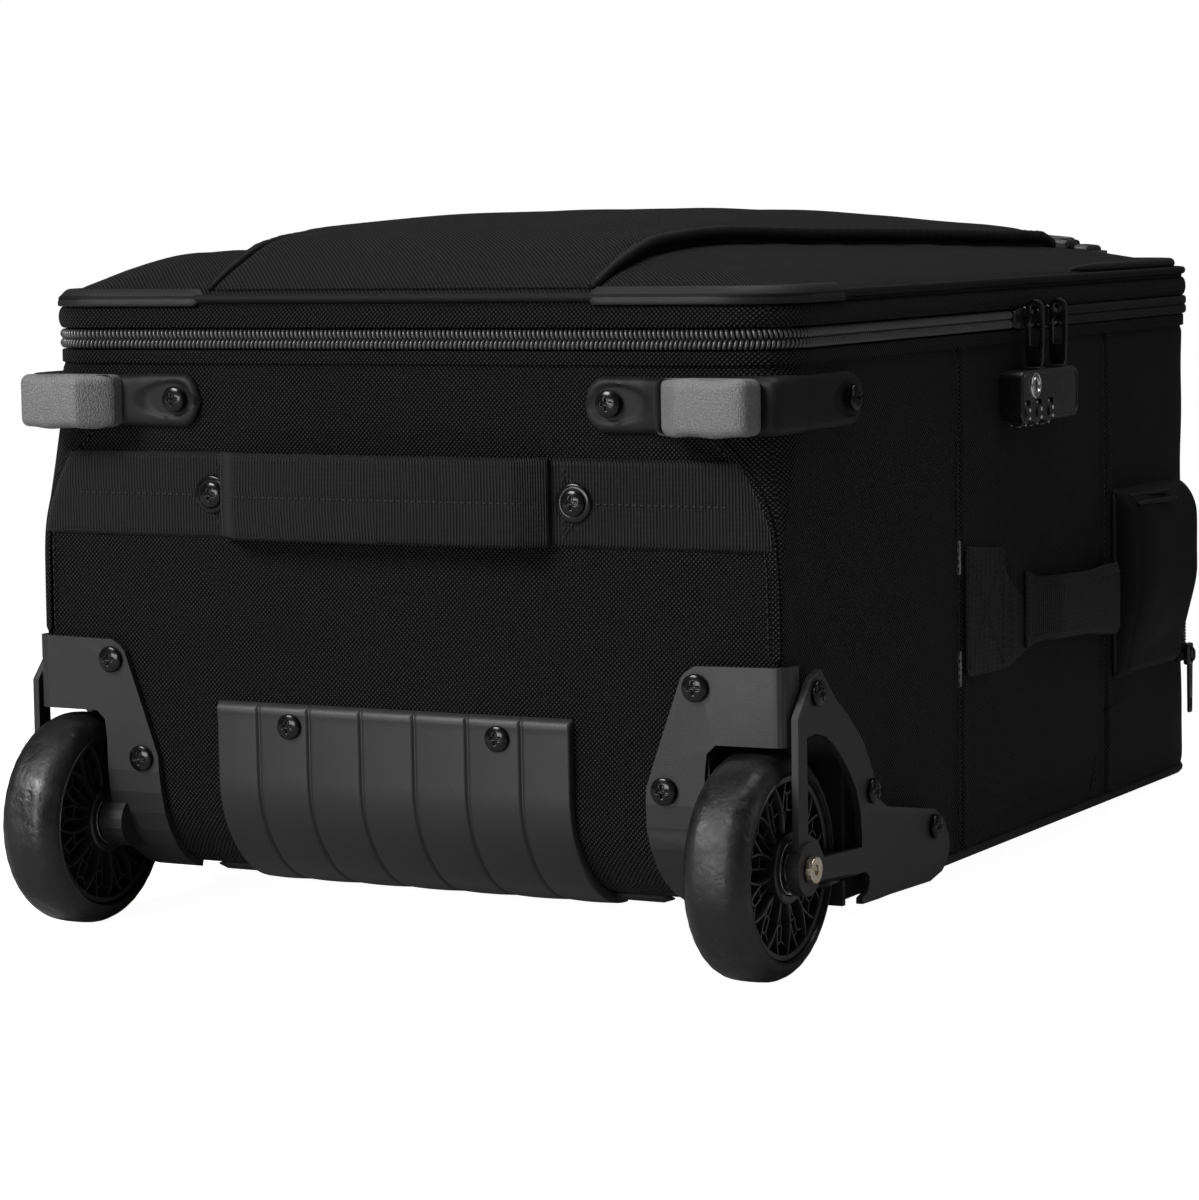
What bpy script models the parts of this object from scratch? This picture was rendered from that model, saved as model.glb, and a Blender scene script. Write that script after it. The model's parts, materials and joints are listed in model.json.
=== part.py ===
"""Rolling laptop case, lying on its back panel with the lid up.

X runs across the width (+X, the right, is the lock side, 0 the mid-plane), Y along
the length from the wheel end to the trolley handle, Z up from the back panel (0) to
the lid.  Metres.  The pieces are laid out with y = 0 on the flat end face at the
wheels; the last step shifts the case so that its origin is the middle of the back panel.

Boxes are (x0, x1, y0, y1, z0, z1).  Outline points are (x, y) in plan, (x, z) on the
end face and (y, z) on the side face.
"""
import bpy
import bmesh
import math
from mathutils import Vector, Matrix

# ---------------------------------------------------------- driving dimensions
HALF_W = 0.1820          # half width of the fabric body
LENGTH = 0.5100          # body length, wheel end to handle end
RIM_Z = 0.2322           # top edge of the body wall
WALL = 0.0060            # padded wall
FLOOR = 0.0040           # back panel
# (z, vertical corner radius) at the wheel end: crisp low down, full at the zip
WHEEL_END_R = ((-1.0, 0.0030), (0.150, 0.0030), (0.165, 0.0090), (0.183, 0.0165),
               (0.201, 0.0235), (0.228, 0.0290), (0.245, 0.0300), (1.0, 0.0300))
HANDLE_END_R = 0.0450    # vertical corner radius, handle end
HEEL_R = 0.0470          # big radius from the wheel end face under to the back panel
TAIL_R = 0.0080          # back panel edge at the handle end
MIN_R = 0.0020           # smallest corner radius of an offset body
GAP = 0.0003             # air between pieces that touch
OVER = 0.01              # how far a cutter runs past what it cuts

HINGE = (-0.1830, 0.0, 0.2408)
AXLE = (0.0060, 0.0229)  # wheel centre (y, z)
AXLE_BORE_R = 0.0043
WHEEL_X = 0.1680
WELL_X, WELL_Y, WELL_Z = 0.1458, 0.0590, 0.0775      # inner, rear and top faces

# thickness of the parts laid over the fabric, measured from the body
HOUSING_T = 0.0030
BUMPER_T = 0.0033
FOOT_T = 0.0040
STRAP_T = 0.0018
GUARD_X = (0.1862, 0.1892)

# screw centres: (x, z) on the end face and (y, z) on the side face
FOOT_SCREW_FACE, FOOT_SCREW_SIDE = (0.1068, 0.2110), (0.0630, 0.2110)
STRAP_SCREW = (0.0892, 0.1700)
BUMPER_SCREW = (0.0515, 0.0705)
HOUSING_FACE = ((0.1445, 0.0960), (0.1296, 0.0527))
HOUSING_SIDE = ((0.0172, 0.0934), (0.0706, 0.0458), (0.1360, 0.0210))
HOLE_R = 0.0022
FACE_CUT_Y = (-0.01, 0.02)       # span of a hole through the end face
SIDE_CUT_X = (0.170, 0.200)      # span of a cut through the right side

# name: (base colour, roughness, metallic)
MATERIALS = {
    "ballistic_nylon": ((0.012, 0.012, 0.013), 0.75, 0.0),
    "webbing": ((0.020, 0.020, 0.021), 0.70, 0.0),
    "charcoal_plastic": ((0.055, 0.055, 0.058), 0.45, 0.0),
    "grey_pad": ((0.30, 0.31, 0.32), 0.55, 0.0),
    "black_plastic": ((0.015, 0.015, 0.016), 0.30, 0.0),
    "coil": ((0.02, 0.02, 0.02), 0.28, 0.0),
    "black_screw": ((0.02, 0.02, 0.022), 0.22, 0.7),
    "tyre_rubber": ((0.035, 0.035, 0.036), 0.60, 0.0),
    "nickel": ((0.72, 0.68, 0.62), 0.22, 1.0),
    "anodised_tube": ((0.28, 0.28, 0.29), 0.32, 1.0),
    "bearing_steel": ((0.60, 0.60, 0.60), 0.28, 1.0),
    "plated_steel": ((0.45, 0.45, 0.46), 0.40, 1.0),
    "liner_grey": ((0.16, 0.16, 0.17), 0.80, 0.0),
    "board": ((0.07, 0.07, 0.07), 0.65, 0.0),
    "fibre_rod": ((0.55, 0.53, 0.46), 0.50, 0.0),
}


def make_materials():
    for name, (colour, roughness, metallic) in MATERIALS.items():
        material = bpy.data.materials.new(name)
        material.use_nodes = True
        inputs = material.node_tree.nodes["Principled BSDF"].inputs
        inputs["Base Color"].default_value = (*colour, 1.0)
        inputs["Roughness"].default_value = roughness
        inputs["Metallic"].default_value = metallic
        material.diffuse_color = (*colour, 1.0)
        MATERIALS[name] = material


# -------------------------------------------------------------------- outlines
def circle(centre, r, n):
    """Regular n-sided outline, turned half a step."""
    start = math.pi / n
    angles = [start + 2 * math.pi * i / n for i in range(n)]
    return [(centre[0] + r * math.cos(a), centre[1] + r * math.sin(a)) for a in angles]


def arc(across, up, r, start, end, n):
    """Points of an arc in n steps, angles in degrees."""
    angles = [math.radians(start + (end - start) * i / n) for i in range(n + 1)]
    return [(across + r * math.cos(a), up + r * math.sin(a)) for a in angles]


def round_rect(x0, x1, y0, y1, r, n):
    return (arc(x1 - r, y1 - r, r, 0, 90, n) + arc(x0 + r, y1 - r, r, 90, 180, n)
            + arc(x0 + r, y0 + r, r, 180, 270, n) + arc(x1 - r, y0 + r, r, 270, 360, n))


def case_outline(x, y0, y1, wheel_r, handle_r, wheel_n=5, handle_n=6):
    """Plan outline of half width x, with its own corner radius at either end."""
    return (arc(x - handle_r, y1 - handle_r, handle_r, 0, 90, handle_n)
            + arc(-x + handle_r, y1 - handle_r, handle_r, 90, 180, handle_n)
            + arc(-x + wheel_r, y0 + wheel_r, wheel_r, 180, 270, wheel_n)
            + arc(x - wheel_r, y0 + wheel_r, wheel_r, 270, 360, wheel_n))


# ---------------------------------------------------------------- basic shapes
def join_rings(shape, ring_a, ring_b):
    n = len(ring_a)
    for i in range(n):
        j = (i + 1) % n
        shape.faces.new((ring_a[i], ring_b[i], ring_b[j], ring_a[j]))


def stack(rings):
    """Closed solid through equal-length rings of 3D points."""
    shape = bmesh.new()
    rings = [[shape.verts.new(point) for point in ring] for ring in rings]
    shape.faces.new(rings[0])
    shape.faces.new(list(reversed(rings[-1])))
    for ring_a, ring_b in zip(rings, rings[1:]):
        join_rings(shape, ring_a, ring_b)
    return shape


def closed_loop(rings):
    """Ring-shaped solid: each ring joins the next, and the last joins the first."""
    shape = bmesh.new()
    rings = [[shape.verts.new(point) for point in ring] for ring in rings]
    for i, ring in enumerate(rings):
        join_rings(shape, ring, rings[(i + 1) % len(rings)])
    return shape


def loft(levels):
    """Solid through horizontal outlines, each given as (points, z)."""
    return stack([[(x, y, z) for x, y in points] for points, z in levels])


def prism_x(points, x0, x1):
    """Outline (y, z) extruded along X."""
    return stack([[(x, y, z) for y, z in points] for x in (x0, x1)])


def prism_y(points, y0, y1):
    """Outline (x, z) extruded along Y."""
    return stack([[(x, y, z) for x, z in points] for y in (y0, y1)])


def prism_z(points, z0, z1):
    """Outline (x, y) extruded along Z."""
    return loft([(points, z0), (points, z1)])


def box(x0, x1, y0, y1, z0, z1):
    return prism_z([(x0, y0), (x1, y0), (x1, y1), (x0, y1)], z0, z1)


def rounded_box(x0, x1, y0, y1, z0, z1, r, segments=2):
    shape = box(x0, x1, y0, y1, z0, z1)
    bmesh.ops.bevel(shape, geom=list(shape.edges), offset=r, segments=segments, profile=0.5,
                    affect="EDGES", clamp_overlap=True)
    return shape


def rod_x(centre, r, x0, x1, n):
    return prism_x(circle(centre, r, n), x0, x1)


def rod_y(centre, r, y0, y1, n):
    return prism_y(circle(centre, r, n), y0, y1)


def lathe_x(profile, centre, n):
    """Closed profile of (radius, x) turned about the X axis through centre."""
    rings = []
    for i in range(n):
        a = 2 * math.pi * i / n
        rings.append([(centre[0] + x, centre[1] + r * math.cos(a), centre[2] + r * math.sin(a))
                      for r, x in profile])
    return closed_loop(rings)


# --------------------------------------------------------------------- objects
def as_object(shape):
    """Turn a bmesh into an object; an object passes through unchanged."""
    if not isinstance(shape, bmesh.types.BMesh):
        return shape
    bmesh.ops.recalc_face_normals(shape, faces=shape.faces)
    mesh = bpy.data.meshes.new("part")
    shape.to_mesh(mesh)
    shape.free()
    piece = bpy.data.objects.new("part", mesh)
    bpy.context.scene.collection.objects.link(piece)
    # every part carries the same slot through the booleans; finish() replaces it
    mesh.materials.append(MATERIALS["charcoal_plastic"])
    return piece


def boolean(target, tool, operation):
    """Apply tool to target, use tool up and return target."""
    target, tool = as_object(target), as_object(tool)
    modifier = target.modifiers.new("cut", "BOOLEAN")
    modifier.operation = operation
    modifier.solver = "EXACT"
    modifier.object = tool
    depsgraph = bpy.context.evaluated_depsgraph_get()
    mesh = bpy.data.meshes.new_from_object(target.evaluated_get(depsgraph))
    target.modifiers.clear()
    target.data = mesh
    bpy.data.objects.remove(tool, do_unlink=True)
    # clear the slivers a boolean can leave
    shape = bmesh.new()
    shape.from_mesh(mesh)
    bmesh.ops.remove_doubles(shape, verts=shape.verts, dist=2e-6)
    bmesh.ops.dissolve_degenerate(shape, edges=shape.edges, dist=2e-6)
    shape.to_mesh(mesh)
    shape.free()
    return target


def cut(target, tool):
    return boolean(target, tool, "DIFFERENCE")


def add(target, tool):
    return boolean(target, tool, "UNION")


def keep(target, tool):
    return boolean(target, tool, "INTERSECT")


def finish(piece, name, material, origin=(0, 0, 0), parent=None):
    """Name the piece, give it its material, origin and parent, and shade it."""
    piece = as_object(piece)
    mesh = piece.data
    piece.name = mesh.name = name
    mesh.materials.clear()
    mesh.materials.append(MATERIALS[material])
    mesh.transform(Matrix.Translation(-Vector(origin)))
    piece.location = origin
    mesh.shade_smooth()
    mesh.set_sharp_from_angle(angle=math.radians(35))
    if parent is not None:
        piece.parent = parent
        piece.matrix_parent_inverse = parent.matrix_world.inverted()
    return piece


def mirror_to_left(piece):
    """Left-hand copy of a finished right-hand piece, its origin mirrored too."""
    mesh = piece.data.copy()
    shape = bmesh.new()
    shape.from_mesh(mesh)
    for vert in shape.verts:
        vert.co.x = -vert.co.x
    bmesh.ops.reverse_faces(shape, faces=shape.faces)
    shape.to_mesh(mesh)
    shape.free()
    name = piece.name.replace("_right", "_left")
    mesh.name = name
    twin = bpy.data.objects.new(name, mesh)
    bpy.context.scene.collection.objects.link(twin)
    x, y, z = piece.location
    twin.location = (-x, y, z)


def finish_pair(piece, name, material, origin=(0, 0, 0)):
    mirror_to_left(finish(piece, name + "_right", material, origin))


def add_axis(name, location=(0, 0, 0)):
    """Empty that moving pieces hang from."""
    axis = bpy.data.objects.new(name, None)
    bpy.context.scene.collection.objects.link(axis)
    axis.location = location
    bpy.context.view_layer.update()
    return axis


# ------------------------------------------------------------------ body forms
def wheel_end_radius(z):
    for (z_a, r_a), (z_b, r_b) in zip(WHEEL_END_R, WHEEL_END_R[1:]):
        if z <= z_b:
            return r_a + (r_b - r_a) * (z - z_a) / (z_b - z_a)


def plan_solid(offset, z0, z1):
    """Plan outline of the body, grown by offset, between two heights."""
    heights = [z0] + [z for z, r in WHEEL_END_R if z0 < z < z1] + [z1]
    return loft([(case_outline(HALF_W + offset, -offset, LENGTH + offset,
                               max(wheel_end_radius(z) + offset, MIN_R),
                               HANDLE_END_R + offset), z) for z in heights])


def profile_solid(offset, top, floor_offset):
    """Side profile of the body, grown by offset, from heel to tail."""
    y0, y1, z0 = -offset, LENGTH + offset, -floor_offset
    heel, tail = HEEL_R + offset, max(TAIL_R + offset, MIN_R)
    points = ([(y0, top)] + arc(y0 + heel, z0 + heel, heel, 180, 270, 8)
              + arc(y1 - tail, z0 + tail, tail, 270, 360, 3) + [(y1, top)])
    return prism_x(points, -HALF_W - 0.02, HALF_W + 0.02)


def body(offset, top=RIM_Z, floor_offset=None):
    if floor_offset is None:
        floor_offset = offset
    return keep(profile_solid(offset, top, floor_offset), plan_solid(offset, -0.05, 0.40))


def skin(inner, outer):
    """Layer that follows the body between two offsets."""
    return cut(body(outer), body(inner, RIM_Z + OVER))


def face_hole(piece, centre, side=1):
    """Screw hole through the end face."""
    cut(piece, rod_y((side * centre[0], centre[1]), HOLE_R, *FACE_CUT_Y, 8))


def side_hole(piece, centre, side=1):
    """Screw hole through the side face."""
    cut(piece, rod_x(centre, HOLE_R, *span(side, *SIDE_CUT_X), 8))


def span(side, x0, x1):
    """X range on the given side, low end first."""
    return sorted((side * x0, side * x1))


# ------------------------------------------------------------------ body shell
HINGE_FLAP = (-HALF_W, -HALF_W + WALL, 0.0340, 0.452, RIM_Z - 0.004, 0.2400)
BOSS_HOLE_R, BOSS_HOLE_X = 0.0121, (0.1396, WELL_X + 0.002)
TROLLEY_MOUTH = (-0.1080, 0.1080, 0.470, 0.53, 0.00405, 0.0354)


def build_body_shell():
    shell = cut(body(0.0), body(-WALL, RIM_Z + 0.05, -FLOOR))
    add(shell, box(*HINGE_FLAP))
    for side in (-1, 1):
        cut(shell, box(*span(side, WELL_X, 0.20), -0.02, WELL_Y, -0.02, WELL_Z))
        cut(shell, rod_x(AXLE, BOSS_HOLE_R, *span(side, *BOSS_HOLE_X), 18))
    cut(shell, box(*TROLLEY_MOUTH))
    for side in (-1, 1):
        for centre in (FOOT_SCREW_FACE, STRAP_SCREW, BUMPER_SCREW):
            face_hole(shell, centre, side)
        side_hole(shell, FOOT_SCREW_SIDE, side)
        for centre in HOUSING_FACE:
            face_hole(shell, centre, side)
        for centre in HOUSING_SIDE:
            side_hole(shell, centre, side)
    finish(shell, "body_shell", "ballistic_nylon")


# ------------------------------------------------------ internal stiff members
BACK_BOARD = (-0.166, 0.166, 0.082, 0.4775, 0.0192, 0.0216)
DIVIDER = (-0.170, 0.170, 0.3000, 0.3060, 0.0225, 0.2120)
ROD_INSET, ROD_Z, ROD_R, ROD_SIDES = 0.0092, 0.2260, 0.0025, 6


def build_stiffeners():
    finish(rounded_box(*BACK_BOARD, 0.0008, 1), "back_board", "board")
    finish(rounded_box(*DIVIDER, 0.0015, 1), "padded_divider", "liner_grey")


def build_rim_rod():
    """Thin rod running round inside the rim."""
    points = case_outline(HALF_W - ROD_INSET, ROD_INSET, LENGTH - ROD_INSET,
                          wheel_end_radius(ROD_Z) - ROD_INSET, HANDLE_END_R - ROD_INSET, 4, 5)
    angles = [2 * math.pi * k / ROD_SIDES for k in range(ROD_SIDES)]
    rings = []
    for i, (x, y) in enumerate(points):
        before, after = Vector(points[i - 1]), Vector(points[(i + 1) % len(points)])
        along = (after - before).normalized()
        rings.append([(x + along.y * ROD_R * math.cos(a), y - along.x * ROD_R * math.cos(a),
                       ROD_Z + ROD_R * math.sin(a)) for a in angles])
    finish(closed_loop(rings), "rim_rod", "fibre_rod")


# ------------------------------------------------------------------- zip chain
CHAIN_LOWER_Z = (0.2325, 0.2367)
CHAIN_UPPER_Z = (0.2372, 0.2413)       # moves with the lid
CHAIN_DEPTH = 0.0045
CHAIN_BREAK_X, CHAIN_BREAK_Y = (-0.20, -0.15), (0.0320, 0.4570)    # open at the hinge


def zip_chain(z0, z1):
    low, high = z0 - OVER, z1 + OVER
    chain = cut(plan_solid(0.0, z0, z1), plan_solid(-CHAIN_DEPTH, low, high))
    return cut(chain, box(*CHAIN_BREAK_X, *CHAIN_BREAK_Y, low, high))


# ------------------------------------------------------------------------- lid
LID_BASE = 0.2416
LID_RINGS = ((0.0, LID_BASE), (0.0, 0.2540), (0.006, 0.2588), (0.020, 0.2640),
             (0.045, 0.2700), (0.080, 0.2760), (0.105, 0.2790))      # inset, height
LID_WALL = 0.0040
LID_WHEEL_END_R = 0.0300
PANEL_RISE = 0.0075      # pocket panel stands this far off the lid
PANEL_OUTLINE = [(-0.092, 0.010), (0.097, 0.010), (0.101, 0.060), (0.122, 0.160),
                 (0.128, 0.300), (0.128, 0.455), (-0.123, 0.455), (-0.123, 0.300),
                 (-0.117, 0.160), (-0.096, 0.060)]                   # (x, y)
PANEL_CLIP_Z = (0.2560, 0.30)
SLEEVE_OUTER = (-0.1450, 0.1450, 0.050, 0.440, 0.2320, 0.2612)
SLEEVE_INNER = (-0.1390, 0.1390, 0.040, 0.4340, 0.2348, 0.2586)      # open to the wheels
BUCKLE = (0.0985, 0.1290, 0.4660, 0.4860, 0.2703, 0.2772)


def lid_solid(offset, base):
    """Domed lid, grown by offset, down to a flat base."""
    levels = []
    for i, (inset, height) in enumerate(LID_RINGS):
        edge = inset - offset
        points = case_outline(HALF_W - edge, edge, LENGTH - edge,
                              LID_WHEEL_END_R + inset * 0.25, HANDLE_END_R + inset * 0.1)
        levels.append((points, base if i == 0 else height + offset))
    return loft(levels)


def build_lid():
    hang = {"origin": HINGE, "parent": add_axis("lid_axis", HINGE)}
    finish(zip_chain(*CHAIN_UPPER_Z), "zipper_chain_upper", "coil", **hang)

    shell = cut(lid_solid(0.0, LID_BASE), lid_solid(-LID_WALL, LID_BASE - OVER))
    finish(shell, "lid_shell", "ballistic_nylon", **hang)

    panel = cut(lid_solid(PANEL_RISE, LID_BASE), lid_solid(GAP, LID_BASE - OVER))
    keep(panel, prism_z(PANEL_OUTLINE, *PANEL_CLIP_Z))
    finish(panel, "lid_pocket_panel", "ballistic_nylon", **hang)

    sleeve = cut(rounded_box(*SLEEVE_OUTER, 0.002, 1), box(*SLEEVE_INNER))
    finish(sleeve, "laptop_sleeve", "liner_grey", **hang)
    finish(rounded_box(*BUCKLE, 0.002), "lid_strap_buckle", "black_plastic", **hang)


# -------------------------------------------------------------- wheel housings
HOUSING_OUTLINE = [
    (0.1395, 0.1020), (0.1440, 0.1048), (0.1900, 0.1055), (0.1900, 0.0730), (0.1530, 0.0728),
    (0.1490, 0.0690), (0.1480, 0.0600), (0.1480, 0.0300), (0.1480, -0.010), (0.1260, -0.010),
    (0.1215, 0.0150), (0.1204, 0.0343), (0.1210, 0.0533), (0.1244, 0.0633), (0.1375, 0.0997)]
HOUSING_Y = (-0.012, 0.0345)
HOUSING_TRIM = (0.1816, 0.20, -0.001, 0.06, 0.04, 0.12)
HOUSING_RETURN = [(-0.012, 0.1055), (0.0095, 0.1052), (0.0095, 0.0730), (-0.012, 0.0730)]
HOUSING_RETURN_X = (0.1750, 0.1950)
LINING_CHEEK = (0.1463, 0.1492, -0.0010, 0.0586, -0.005, 0.0770)
LINING_ROOF = (0.1488, 0.1820, -0.0010, 0.0586, 0.0736, 0.0770)
LINING_REAR = (0.1488, 0.1820, 0.0556, 0.0586, -0.005, 0.0740)
LINING_OFFSET = 0.0012
INNER_BOSS_R, INNER_BOSS_X, INNER_BORE_X = 0.0115, (0.1402, 0.1518), (0.1408, 0.160)


def build_wheel_housings():
    """Moulded end face corners with the wheel well linings."""
    zone = cut(prism_y(HOUSING_OUTLINE, *HOUSING_Y), box(*HOUSING_TRIM))
    add(zone, prism_x(HOUSING_RETURN, *HOUSING_RETURN_X))
    housing = keep(skin(GAP, HOUSING_T), zone)
    # well lining, clipped to the body outline
    lining = add(box(*LINING_CHEEK), box(*LINING_ROOF))
    add(lining, box(*LINING_REAR))
    keep(lining, body(LINING_OFFSET))
    add(housing, lining)
    add(housing, rod_x(AXLE, INNER_BOSS_R, *INNER_BOSS_X, 18))
    cut(housing, rod_x(AXLE, AXLE_BORE_R, *INNER_BORE_X, 14))
    for centre in HOUSING_FACE:
        face_hole(housing, centre)
    finish_pair(housing, "wheel_housing", "charcoal_plastic")


# ----------------------------------------------------------------- side guards
GUARD_OUTLINE = [
    (0.0125, 0.0997), (0.0216, 0.1028), (0.0349, 0.0895), (0.0475, 0.0807), (0.0624, 0.0679),
    (0.0719, 0.0539), (0.0775, 0.0415), (0.0865, 0.0369), (0.1370, 0.0285), (0.1450, 0.0240),
    (0.1510, 0.0160), (0.1530, 0.0098), (0.1500, 0.0035), (0.1440, 0.0000), (0.1310, -0.0024),
    (0.0874, -0.0010), (0.0762, -0.0010), (0.0600, -0.0005), (0.0600, 0.0020), (0.0655, 0.0035),
    (0.0676, 0.0070), (0.0672, 0.0105), (0.0632, 0.0128), (0.0180, 0.0165),
    *arc(AXLE[0] + 0.004, AXLE[1] + 0.0010, 0.0115, -40, -170, 7),
    (-0.0012, 0.0339), (-0.0008, 0.0850)]
GUARD_PAD_X = (0.1823, 0.1870)       # the guard is this deep where it lies on the body
GUARD_PAD_REAR = (0.1800, 0.2000, 0.0600, 0.2000, -0.02, 0.20)
GUARD_PAD_TOP = (0.1800, 0.2000, 0.0100, 0.2000, 0.0778, 0.20)
# crescent opening over the wheel
CRESCENT = [(0.0074, 0.0765), (0.0160, 0.0770), (0.0261, 0.0745), (0.0345, 0.0695),
            (0.0417, 0.0634), (0.0490, 0.0562), (0.0553, 0.0480), (0.0590, 0.0385),
            (0.0603, 0.0290), (0.0602, 0.0235), (0.0225, 0.0252), (0.0170, 0.0330),
            (0.0078, 0.0370)]
OUTER_BOSS_R, OUTER_BOSS_X = 0.0110, (0.1848, 0.1906)


def build_side_guards():
    guard = as_object(prism_x(GUARD_OUTLINE, *GUARD_X))
    pad_zone = add(box(*GUARD_PAD_REAR), box(*GUARD_PAD_TOP))
    add(guard, keep(prism_x(GUARD_OUTLINE, *GUARD_PAD_X), pad_zone))
    cut(guard, prism_x(CRESCENT, *SIDE_CUT_X))
    add(guard, rod_x(AXLE, OUTER_BOSS_R, *OUTER_BOSS_X, 20))
    cut(guard, rod_x(AXLE, AXLE_BORE_R, *SIDE_CUT_X, 14))
    for centre in HOUSING_SIDE:
        side_hole(guard, centre)
    finish_pair(guard, "side_guard", "charcoal_plastic")


# ---------------------------------------------------------------------- wheels
BOLT_R, BOLT_X = 0.0040, (0.1412, 0.1915)
BOLT_HEAD_R, BOLT_HEAD_X = 0.0056, (0.1909, 0.1938)
BOLT_SOCKET_R, BOLT_SOCKET_X = 0.0024, (0.1922, 0.1980)

WHEEL_R, WHEEL_W = 0.0470, 0.0300
# half profiles as (radius, distance from the wheel's middle plane)
TYRE_HALF = [(0.0382, 0.0130), (0.0388, 0.0148), (0.0405, WHEEL_W / 2), (0.0430, 0.0135),
             (0.0455, 0.0092)]
HUB_HALF = [(0.0062, 0.0070), (0.0113, 0.0070), (0.0113, 0.0146), (0.0145, 0.0146)]
RIM_HALF = [(0.0352, 0.0125), (0.0378, 0.0125)]
SPOKES = 12
SPOKE = (-0.0115, 0.0115, 0.0138, 0.0358, -0.0014, 0.0014)      # about the wheel centre
BEARING_R, BEARING_IN, BEARING_OUT = 0.0110, 0.0075, 0.0145
RECESS_X = BEARING_OUT - 0.0006
# closed profile of (radius, distance from the wheel's middle plane)
BEARING_PROFILE = [
    (AXLE_BORE_R, BEARING_IN), (BEARING_R, BEARING_IN), (BEARING_R, BEARING_OUT),
    (0.0092, BEARING_OUT), (0.0088, RECESS_X), (0.0066, RECESS_X), (0.0062, BEARING_OUT),
    (AXLE_BORE_R, BEARING_OUT)]


def build_axle_bolts():
    bolt = add(rod_x(AXLE, BOLT_R, *BOLT_X, 14), rod_x(AXLE, BOLT_HEAD_R, *BOLT_HEAD_X, 14))
    cut(bolt, rod_x(AXLE, BOLT_SOCKET_R, *BOLT_SOCKET_X, 6))
    finish_pair(bolt, "axle_bolt", "nickel", (WHEEL_X, *AXLE))


def symmetric(half, middle=()):
    """Full lathe profile from its half, with optional points on the middle plane."""
    return [(r, -x) for r, x in half] + list(middle) + half[::-1]


def wheel_spokes(centre):
    spokes = bmesh.new()
    for i in range(SPOKES):
        blade = box(*SPOKE)
        turn = Matrix.Rotation(2 * math.pi * i / SPOKES, 4, "X")
        bmesh.ops.transform(blade, matrix=Matrix.Translation(centre) @ turn, verts=blade.verts)
        mesh = bpy.data.meshes.new("spoke")
        blade.to_mesh(mesh)
        blade.free()
        spokes.from_mesh(mesh)
        bpy.data.meshes.remove(mesh)
    return spokes


def build_wheel(side, tag):
    centre = (side * WHEEL_X, *AXLE)
    axis = add_axis("wheel_axis_" + tag, centre)
    tyre = lathe_x(symmetric(TYRE_HALF, [(WHEEL_R, 0.0)]), centre, 36)
    finish(tyre, "tyre_" + tag, "tyre_rubber", centre, axis)

    hub = as_object(lathe_x(symmetric(HUB_HALF), centre, 20))
    add(hub, lathe_x(symmetric(RIM_HALF), centre, 36))
    add(hub, wheel_spokes(centre))
    finish(hub, "wheel_hub_" + tag, "black_plastic", centre, axis)

    for facing, place in ((-side, "inner"), (side, "outer")):
        bearing = lathe_x([(r, x * facing) for r, x in BEARING_PROFILE], centre, 20)
        finish(bearing, "bearing_%s_%s" % (tag, place), "bearing_steel", centre, axis)


# ------------------------------------------------------------------- kick plate
BUMPER_OUTLINE = round_rect(-0.0896, 0.0860, -0.020, 0.0800, 0.003, 2)
BUMPER_Y = (-0.02, 0.0520)


def build_bumper():
    bumper = keep(skin(GAP, BUMPER_T), prism_y(BUMPER_OUTLINE, *BUMPER_Y))
    for side in (-1, 1):
        face_hole(bumper, BUMPER_SCREW, side)
    finish(bumper, "bumper_plate", "charcoal_plastic")


# ---------------------------------------------------------------- corner feet
FOOT_FACE_OUTLINE = [
    (0.1068, 0.1985), (0.1000, 0.2002), (0.0955, 0.2055), (0.0943, 0.2110), (0.0955, 0.2165),
    (0.1000, 0.2218), (0.1068, 0.2235), (0.1300, 0.2218), (0.1900, 0.2218), (0.1900, 0.1990),
    (0.1300, 0.1990)]
FOOT_FACE_Y = (-0.02, 0.0020)
FOOT_SIDE_OUTLINE = [
    (-0.02, 0.1990), (0.0650, 0.1995), (0.0730, 0.2040), (0.0755, 0.2110), (0.0730, 0.2180),
    (0.0650, 0.2218), (-0.02, 0.2218)]
FOOT_SIDE_X = (0.1700, 0.1950)
FOOT_CORNER = (0.1400, 0.1860, -0.0040, 0.0320, 0.1990, 0.2218)
FOOT_PAD = (0.1345, 0.1770, -0.0215, -0.0044, 0.1992, 0.2216)
FOOT_ROUND = 0.0030


def build_feet():
    zone = add(prism_y(FOOT_FACE_OUTLINE, *FOOT_FACE_Y),
               prism_x(FOOT_SIDE_OUTLINE, *FOOT_SIDE_X))
    foot = keep(skin(GAP, FOOT_T), zone)
    add(foot, cut(rounded_box(*FOOT_CORNER, FOOT_ROUND), body(GAP)))
    face_hole(foot, FOOT_SCREW_FACE)
    side_hole(foot, FOOT_SCREW_SIDE)
    finish_pair(foot, "foot", "charcoal_plastic")
    finish_pair(rounded_box(*FOOT_PAD, FOOT_ROUND), "foot_pad", "grey_pad")


# ------------------------------------------------- webbing on the two end faces
STRAP_OUTLINE = [(-0.1745, 0.1510), (0.1745, 0.1510), (0.1660, 0.1885), (-0.1660, 0.1885)]
STRAP_Y = (-0.02, 0.002)
GRAB_Y = -0.0026
GRAB_OUTLINE = [(-0.0820, GRAB_Y), (0.0770, GRAB_Y), (0.0770, -0.0040), (0.0700, -0.0085),
                (0.0400, -0.0110), (-0.0450, -0.0110), (-0.0750, -0.0085), (-0.0820, -0.0040)]
GRAB_Z, GRAB_ORIGIN_Z = (0.1512, 0.1883), 0.170
# (x, distance out from the handle end face)
TOP_HANDLE = ((-0.0900, 0.0010), (-0.0900, 0.0030), (-0.0700, 0.0085), (-0.0400, 0.0110),
              (0.0400, 0.0110), (0.0700, 0.0085), (0.0900, 0.0030), (0.0900, 0.0010))
TOP_HANDLE_Z = (0.1250, 0.1600)


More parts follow.
